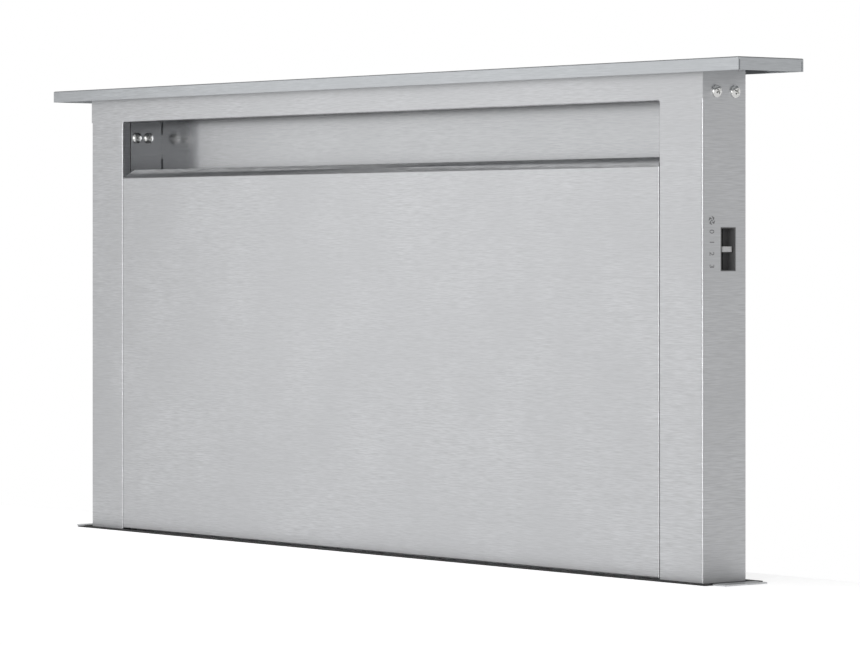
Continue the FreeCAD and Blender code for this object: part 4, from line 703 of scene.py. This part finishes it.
def build_pan_screw():
    tree, given = new_shape("pan-head screw", [
        ("Head radius", FLOAT, 4.75 * MM), ("Rise", FLOAT, 2.6 * MM), ("Shank radius", FLOAT, 2.5 * MM),
        ("Cross", FLOAT, 4.6 * MM), ("Seed", COUNT, 3)])
    head = add(tree, "GeometryNodeMeshBoolean", [
        ("Mesh 1", pan_dome(tree, given["Head radius"], given["Rise"])),
        ("Mesh 2", cross_bars(tree, given["Cross"], given["Rise"]))], operation="DIFFERENCE").outputs[0]
    turn = add(tree, "FunctionNodeRandomValue", [
        (2, 0.0), (3, math.pi / 2), ("Seed", given["Seed"])]).outputs[1]
    spin = add(tree, "FunctionNodeEulerToRotation", [(0, triple(tree, z=turn))]).outputs[0]
    shank = add(tree, "GeometryNodeMeshCylinder", [
        ("Vertices", SHANK_SIDES), ("Radius", given["Shank radius"]), ("Depth", 1.0)]).outputs[0]
    sunk = moved(tree, shank, (0.0, 0.0, -0.5))
    heads = facing_points(tree, given["Geometry"], head, spin)
    shanks = facing_points(tree, given["Geometry"], sunk,
                           scale=triple(tree, 1.0, 1.0, spot_value(tree, "reach", "FLOAT")))
    finish_shape(tree, joined(tree, heads, shanks), given["Finish"])
    return tree


pan_screw = build_pan_screw()
on_riser = grow("riser_screws_detailed", pan_screw, riser_screws, "riser", zinc_bright, "fastener", seed=7)
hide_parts("riser_screws")
on_housing = grow("housing_screws_detailed", pan_screw, housing_screws, "housing", zinc_bright, "fastener")
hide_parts("housing_screws")

# %% [markdown]
# The control box is closed by four small screws. The drawing leaves them out as too small, so there
# is nothing to read back. Their places are measured from the cover that they hold, and the tree
# above makes them too, with smaller sizes put in. At these sizes the cut goes wrong and leaves the
# cross without its dome, a fault that is still to be mended.

# %% Small screws
COVER_INSET, COVER_REACH = 7 * MM, 3 * MM
TOWARD_COOK = Vector((0, -1, 0))


def corner_spots(name, inset, reach):
    """Spots on a piece's front face, near its four corners."""
    low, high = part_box(name)
    return [(Vector((x, low.y, z)), TOWARD_COOK, reach)
            for x in (low.x + inset, high.x - inset) for z in (low.z + inset, high.z - inset)]


grow("cover_screws", pan_screw, corner_spots("control_cover", COVER_INSET, COVER_REACH), "housing",
     zinc_bright, "fastener", head_radius=2.6 * MM, rise=1.6 * MM, shank_radius=1.4 * MM, cross=2.6 * MM)

# %% [markdown]
# The lead screws lift the riser. A fast screw such as this one moves the nut 25 mm in a turn, so it
# has five threads side by side. Blender's Screw modifier could turn one outline into a thread, but a
# spiral swept with a small round section can be copied round the core as often as there are threads.
# A plain core runs the whole length, and its bare foot is the journal that turns in the bearing.

# %% Lead screws
SPIRAL_STEPS, RIDGE_SIDES, CORE_SIDES = 20, 6, 32
UP = Vector((0, 0, 1))


def spiral_thread(tree, given, height):
    """One thread, from the origin up: its ridge reaches out to the crest."""
    middle = math_node(tree, "SUBTRACT", given["Crest"], given["Ridge"])
    spiral = add(tree, "GeometryNodeCurveSpiral", [
        ("Resolution", SPIRAL_STEPS), ("Rotations", math_node(tree, "DIVIDE", height, given["Lead"])),
        ("Start Radius", middle), ("End Radius", middle), ("Height", height)]).outputs[0]
    return swept(tree, spiral, RIDGE_SIDES, given["Ridge"], True)


def build_lead_screw():
    tree, given = new_shape("lead screw", [
        ("Core", FLOAT, 5 * MM), ("Crest", FLOAT, 6 * MM), ("Ridge", FLOAT, 1.3 * MM),
        ("Lead", FLOAT, 25 * MM), ("Starts", COUNT, 5), ("Bare foot", FLOAT, 32.5 * MM),
        ("Bare tip", FLOAT, 2 * MM)])
    length = add(tree, "GeometryNodeSampleIndex", [
        ("Geometry", given["Geometry"]), ("Value", spot_value(tree, "reach", "FLOAT"))]).outputs[0]
    above_foot = math_node(tree, "SUBTRACT", length, given["Bare foot"])
    thread = spiral_thread(tree, given, math_node(tree, "SUBTRACT", above_foot, given["Bare tip"]))
    starts = add(tree, "GeometryNodePoints", [
        ("Count", given["Starts"]), ("Position", triple(tree, z=given["Bare foot"]))]).outputs[0]
    angle = math_node(tree, "MULTIPLY", add(tree, "GeometryNodeInputIndex").outputs[0],
                      math_node(tree, "DIVIDE", 2 * math.pi, given["Starts"]))
    turned = add(tree, "FunctionNodeEulerToRotation", [(0, triple(tree, z=angle))]).outputs[0]
    threads = on_points(tree, starts, thread, Rotation=turned)
    core = add(tree, "GeometryNodeMeshCylinder", [
        ("Vertices", CORE_SIDES), ("Radius", given["Core"]), ("Depth", length)]).outputs[0]
    raised = moved(tree, core, triple(tree, z=math_node(tree, "MULTIPLY", length, 0.5)))
    screw = on_points(tree, given["Geometry"], joined(tree, raised, threads))
    finish_shape(tree, screw, given["Finish"])
    return tree


lead_screw = build_lead_screw()
thread_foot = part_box("screw_bearings")[1].z + 0.3 * MM
for side in ("left", "right"):
    low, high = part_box(f"lead_screw_{side}")
    foot = Vector(((low.x + high.x) / 2, (low.y + high.y) / 2, low.z))
    turning = grow(f"lead_screw_thread_{side}", lead_screw, [(foot, UP, high.z - low.z)], f"screw_{side}",
                   steel_machined, "machined_steel", bare_foot=thread_foot - low.z)
    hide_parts(f"lead_screw_{side}")

# %% [markdown]
# A toothed belt ties the two lead screws together. An array of blocks could follow the whole belt,
# but round the pulleys the teeth are hidden in the grooves. So a tooth stands every 5 mm along both
# straight sides only, and faces inward.

# %% Belt teeth
TOOTH_PITCH, BELT_THICK = 5 * MM, 1.6 * MM


def build_tooth():
    tree, given = new_shape("belt tooth", [
        ("Long", FLOAT, 7.6 * MM), ("Wide", FLOAT, 2.2 * MM), ("Deep", FLOAT, 0.6 * MM)])
    block = add(tree, "GeometryNodeMeshCube", [
        ("Size", triple(tree, given["Wide"], given["Long"], given["Deep"]))]).outputs[0]
    raised = moved(tree, block, triple(tree, z=math_node(tree, "MULTIPLY", given["Deep"], 0.5)))
    finish_shape(tree, facing_points(tree, given["Geometry"], raised), given["Finish"])
    return tree


belt_low, belt_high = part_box("drive_belt")
teeth_each_way = int(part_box("screw_pulley_right")[0].x / TOOTH_PITCH)
belt_middle = (belt_low.z + belt_high.z) / 2
teeth = [(Vector((place * TOOTH_PITCH, side * (belt_high.y - BELT_THICK), belt_middle)),
          Vector((0, -side, 0)), 0.0)
         for side in (-1, 1) for place in range(-teeth_each_way, teeth_each_way + 1)]
grow("belt_teeth", build_tooth(), teeth, "housing", rubber_black, "rubber")

# %% [markdown]
# A grease filter is a pack of expanded metal: sheet that is slit and pulled open into small diamonds.
# A picture of a mesh on the drawing's plain plate would look flat, as the light has to fall through.
# Seen close, each row is a zigzag and the next row is its mirror image, so that their points meet.
# That is what the tree makes: one zigzag wire, rows of it, and a second layer half a step aside. A
# row that is mirrored by a scale of minus one comes out with its faces turned inward. It doesn't
# show, but they are still to be flipped back.

# %% Filter mesh
ROW = 5.6 * MM
WIRE_SIDES, EDGE_ROOM, LAYER_FORWARD = 3, 2 * MM, 0.5 * MM


def build_filter_mesh():
    tree, given = new_shape("expanded metal", [
        ("Width", FLOAT, 330 * MM), ("Height", FLOAT, 280 * MM), ("Step", FLOAT, 4.1 * MM),
        ("Row", FLOAT, ROW), ("Wire", FLOAT, 0.45 * MM), ("Apart", FLOAT, 1 * MM)])
    odd = math_node(tree, "MODULO", add(tree, "GeometryNodeInputIndex").outputs[0], 2.0)
    line = add(tree, "GeometryNodeMeshLine", [
        ("Count", math_node(tree, "DIVIDE", given["Width"], given["Step"])),
        ("Offset", triple(tree, given["Step"]))]).outputs[0]
    swing = math_node(tree, "MULTIPLY", math_node(tree, "SUBTRACT", odd, 0.5), given["Row"])
    zigzag = shifted(tree, line, triple(tree, z=swing))
    curve = add(tree, "GeometryNodeMeshToCurve", [("Mesh", zigzag)]).outputs[0]
    strand = swept(tree, curve, WIRE_SIDES, given["Wire"], False)
    rows = add(tree, "GeometryNodeMeshLine", [
        ("Count", math_node(tree, "DIVIDE", given["Height"], given["Row"])),
        ("Offset", triple(tree, z=given["Row"]))]).outputs[0]
    mirror = math_node(tree, "SUBTRACT", 1.0, math_node(tree, "MULTIPLY", odd, 2.0))
    layer = on_points(tree, rows, strand, Scale=triple(tree, 1.0, 1.0, mirror))
    half_step = math_node(tree, "MULTIPLY", given["Step"], 0.5)
    behind = moved(tree, layer, triple(tree, half_step, given["Apart"]))
    mats = on_points(tree, given["Geometry"], joined(tree, layer, behind))
    finish_shape(tree, mats, given["Finish"])
    return tree


plates = [limits_of(corners) for corners in separate_solids("filter_mesh")]
mesh_corners = [(Vector((low.x, (low.y + high.y) / 2 - LAYER_FORWARD, low.z + ROW / 2)), UP, 0.0)
                for low, high in plates]
mesh_size = plates[0][1] - plates[0][0]
expanded = grow("filter_mesh_expanded", build_filter_mesh(), mesh_corners, "riser", aluminium,
                "aluminium", row=ROW, width=mesh_size.x - EDGE_ROOM, height=mesh_size.z - ROW / 2)
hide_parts("filter_mesh")

# %% [markdown]
# Beside the speed slider the side plate carries the only print on the vent: a fan and the digits of
# the four steps, turned on their side. Print could be part of the plate's material, but then it would
# need a picture. As flat shapes it stays sharp at any distance. The digits come from a font, turned
# into a mesh. The fan is four curved blades round a hub. All of it is laid out flat, then set on the
# plate.

# %% Printed speed marks
DIGIT_HEIGHT, FAN_RADIUS, PRINT_RISE = 4.6 * MM, 3.4 * MM, 0.05 * MM
PRINT_MIDDLE_Y = -12.7 * MM
DIGIT_PLACES = {"0": 265.8 * MM, "1": 257.8 * MM, "2": 249.1 * MM, "3": 239.7 * MM}
FAN_PLACE = 274.2 * MM
HUB, HUB_SIDES, BLADE_ROOT = 0.2, 16, 0.28
BLADE_SWEEP, BLADE_WIDTH, BLADE_BULGE, BULGE_TURN = 0.75, 0.25, 0.75, 2.2


def digit_outline(character, height):
    """The faces of one digit, laid flat round its middle, as lists of (across, up) points."""
    curve = bpy.data.curves.new("digit", "FONT")
    curve.body = character
    letter = put("digit", curve)
    mesh = bpy.data.meshes.new_from_object(letter.evaluated_get(bpy.context.evaluated_depsgraph_get()))
    bpy.data.objects.remove(letter)
    low, high = limits_of([corner.co for corner in mesh.vertices])
    middle, factor = (low + high) / 2, height / (high.y - low.y)
    flat = [tuple(((corner.co - middle) * factor)[:2]) for corner in mesh.vertices]
    return [[flat[i] for i in face.vertices] for face in mesh.polygons]


def fan_outline(radius, blades=4, steps=9):
    """A hub and swept blades, as lists of (across, up) points; a blade widens and narrows again."""
    def at(distance, angle):
        return (distance * math.cos(angle), distance * math.sin(angle))

    shapes = [[at(radius * HUB, 2 * math.pi * k / HUB_SIDES) for k in range(HUB_SIDES)]]
    for blade in range(blades):
        turn = 2 * math.pi * blade / blades
        front, back = [], []
        for share in [k / (steps - 1) for k in range(steps)]:
            distance = radius * (BLADE_ROOT + (1 - BLADE_ROOT) * share)
            leading = turn + BLADE_SWEEP * share
            front.append(at(distance, leading))
            width = BLADE_WIDTH + BLADE_BULGE * math.sin(BULGE_TURN * share)
            back.append(at(distance, leading + width))
        shapes.append(front + back[::-1])
    return shapes


def kept_mesh(name, work):
    """Turns a worked mesh into a kept one and lets the worked one go."""
    mesh = bpy.data.meshes.new(name)
    work.to_mesh(mesh)
    work.free()
    return mesh


def set_on_side(name, marks, finish):
    """Lays flat shapes on the side plate, turned a quarter clockwise, each at its own height."""
    print_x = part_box("riser_shell")[1].x + PRINT_RISE
    work = bmesh.new()
    for shapes, height in marks:
        for shape in shapes:
            work.faces.new([work.verts.new((print_x, PRINT_MIDDLE_Y + up, height - across))
                            for across, up in shape])
    made = put(name, kept_mesh(name, work))
    made.data.materials.append(finish)
    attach(made, "riser")
    return made


ink = coated("ink, grey print", (0.16, 0.16, 0.165), roughness=0.5, grain=3000.0, relief=0.01 * MM)
marks = [(digit_outline(digit, DIGIT_HEIGHT), place) for digit, place in DIGIT_PLACES.items()]
marks.append((fan_outline(FAN_RADIUS), FAN_PLACE))
printed = set_on_side("printed_speed_marks", marks, ink)
print(printed.name, "has", len(printed.data.polygons), "faces")

# %% [markdown]
# The light is that of a packshot. Steel has no look of its own: it shows the room. A picture of a
# studio could light it, but then nothing in the room could be changed by itself. So the room is a
# world worked out from the direction: white to the camera, bright in front of the vent where the
# front face looks, brighter still where the side face looks, and dark overhead, so that the lip below
# the slot stays darker than the face. Left of the camera a strip of it is brightest: only the upright
# folds mirror that strip, as white lines.

# %% World
FRONT_LEVEL, SIDE_LEVEL = 0.66, 0.86
SIDE_WAY, FOLD_WAY = (0.78, 0.63, 0.0), (0.375, -0.927, 0.0)
FOLD_EDGE, FOLD_GLOW = (0.925, 0.975), 5.0
OVERHEAD_EDGE, OVERHEAD = (0.20, 0.52), 0.28
WHITE = (1, 1, 1, 1)


def toward(tree, way, aim):
    """How far a direction agrees with an aim: 1 is the same way, -1 is the opposite."""
    return add(tree, "ShaderNodeVectorMath", [(0, way), (1, aim)], operation="DOT_PRODUCT").outputs["Value"]


def make_world():
    world = bpy.data.worlds.new("white studio")
    world.use_nodes = True
    tree = world.node_tree
    tree.nodes.clear()
    way = add(tree, "ShaderNodeTexCoord").outputs["Generated"]
    height = add(tree, "ShaderNodeSeparateXYZ", [("Vector", way)]).outputs["Z"]
    level = math_node(
        tree, "ADD",
        ranged(tree, toward(tree, way, SIDE_WAY), (-1.0, 1.0), (FRONT_LEVEL, SIDE_LEVEL)),
        ranged(tree, toward(tree, way, FOLD_WAY), FOLD_EDGE, (0.0, FOLD_GLOW)))
    level = math_node(tree, "MULTIPLY", level, ranged(tree, height, OVERHEAD_EDGE, (1.0, OVERHEAD)))
    rays = add(tree, "ShaderNodeLightPath").outputs
    seen = math_node(tree, "MAXIMUM", rays["Is Camera Ray"], rays["Is Transmission Ray"])
    strength = add(tree, "ShaderNodeMix", [(0, seen), (2, level), (3, 1.0)], data_type="FLOAT").outputs[0]
    glow = add(tree, "ShaderNodeBackground", [("Color", WHITE), ("Strength", strength)])
    output = add(tree, "ShaderNodeOutputWorld")
    tree.links.new(glow.outputs[0], output.inputs[0])
    scene.world = world
    return world


print("world:", make_world().name)

# %% [markdown]
# In the photograph the vent stands on pure white, with hardly a shadow. A plain white worktop would
# come out grey, and one that only glows would take no shadow and leave the vent afloat. So the white
# surface does a little of both: it adds a glow for the camera and a smaller one for mirrors. The
# worktop has the vent's cut-out in it and hides what a kitchen cabinet hides.

# %% Worktop and floor
PALE, PALE_ROUGH = (0.86, 0.86, 0.86, 1), 0.9
GLOW_SEEN, GLOW_MIRRORED = 0.68, 0.54
WORKTOP_EDGES, WORKTOP_THICK = (-0.75, 0.75, -0.80, 0.085), 0.03
FLOOR_EDGES = (-6.0, 6.0, -6.0, 6.0)
CUT_OUT_ROOM = 1.5 * MM


def pale(name):
    """A white that glows for the camera, less in mirrors, and still takes a shadow."""
    material, tree, surface = blank_material(name, PALE_ROUGH)
    surface["Base Color"].default_value = PALE
    surface["Emission Color"].default_value = WHITE
    rays = add(tree, "ShaderNodeLightPath").outputs
    lift = math_node(tree, "ADD", math_node(tree, "MULTIPLY", rays["Is Camera Ray"], GLOW_SEEN),
                     math_node(tree, "MULTIPLY", rays["Is Glossy Ray"], GLOW_MIRRORED))
    tree.links.new(lift, surface["Emission Strength"])
    return material


def slab(name, edges, top, thick, hole=None):
    """A flat slab; edges and hole are (low x, high x, low y, high y) in metres."""
    low_x, high_x, low_y, high_y = edges
    xs = sorted({low_x, high_x, *(hole[:2] if hole else ())})
    ys = sorted({low_y, high_y, *(hole[2:] if hole else ())})
    work = bmesh.new()
    grid = {(x, y): work.verts.new((x, y, top)) for x in xs for y in ys}
    for x0, x1 in zip(xs, xs[1:]):
        for y0, y1 in zip(ys, ys[1:]):
            if (x0, x1, y0, y1) != hole:
                work.faces.new([grid[x0, y0], grid[x1, y0], grid[x1, y1], grid[x0, y1]])
    made = put(name, kept_mesh(name, work))
    if thick:
        shell = made.modifiers.new("thickness", "SOLIDIFY")
        shell.thickness = thick
        shell.offset = -1
    return made


front_low, front_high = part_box("housing_front")
cut_out = (front_low.x - CUT_OUT_ROOM, front_high.x + CUT_OUT_ROOM,
           front_low.y - CUT_OUT_ROOM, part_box("housing_back")[1].y + CUT_OUT_ROOM)
worktop = slab("worktop", WORKTOP_EDGES, 0.0, WORKTOP_THICK, cut_out)
worktop.data.materials.append(pale("worktop, white"))
floor = slab("floor", FLOOR_EDGES, drawing_box[0].z, 0.0)
floor.data.materials.append(pale("floor, white"))
print("worktop and floor on the stage; the slot is", round(cut_out[1] - cut_out[0], 3), "m long")

# %% [markdown]
# Two soft lamps finish it. The wide one stands in front, where the middle and the right of the face
# mirror it and the left end doesn't, and that makes the slow run from grey to pale along the face. A
# brighter world would lift the whole face at once. The lamp above gives the shadows.


# %% Lamps
def lamp(name, place, aim, size, power):
    """A rectangular lamp; place and aim are in metres, size is (width, height), power is in watts."""
    data = bpy.data.lights.new(name, "AREA")
    data.shape = "RECTANGLE"
    data.size, data.size_y = size
    data.energy = power
    made = put(name, data)
    made.location = place
    made.rotation_euler = (Vector(place) - Vector(aim)).to_track_quat("Z", "Y").to_euler()


lamp("wide softbox in front", place=(-1.05, -1.15, 0.50), aim=(0.05, -0.13, 0.35), size=(1.04, 1.4),
     power=2.9)
lamp("top light", place=(-0.6, -1.2, 2.4), aim=(0, 0, 0.2), size=(1.6, 1.2), power=6)
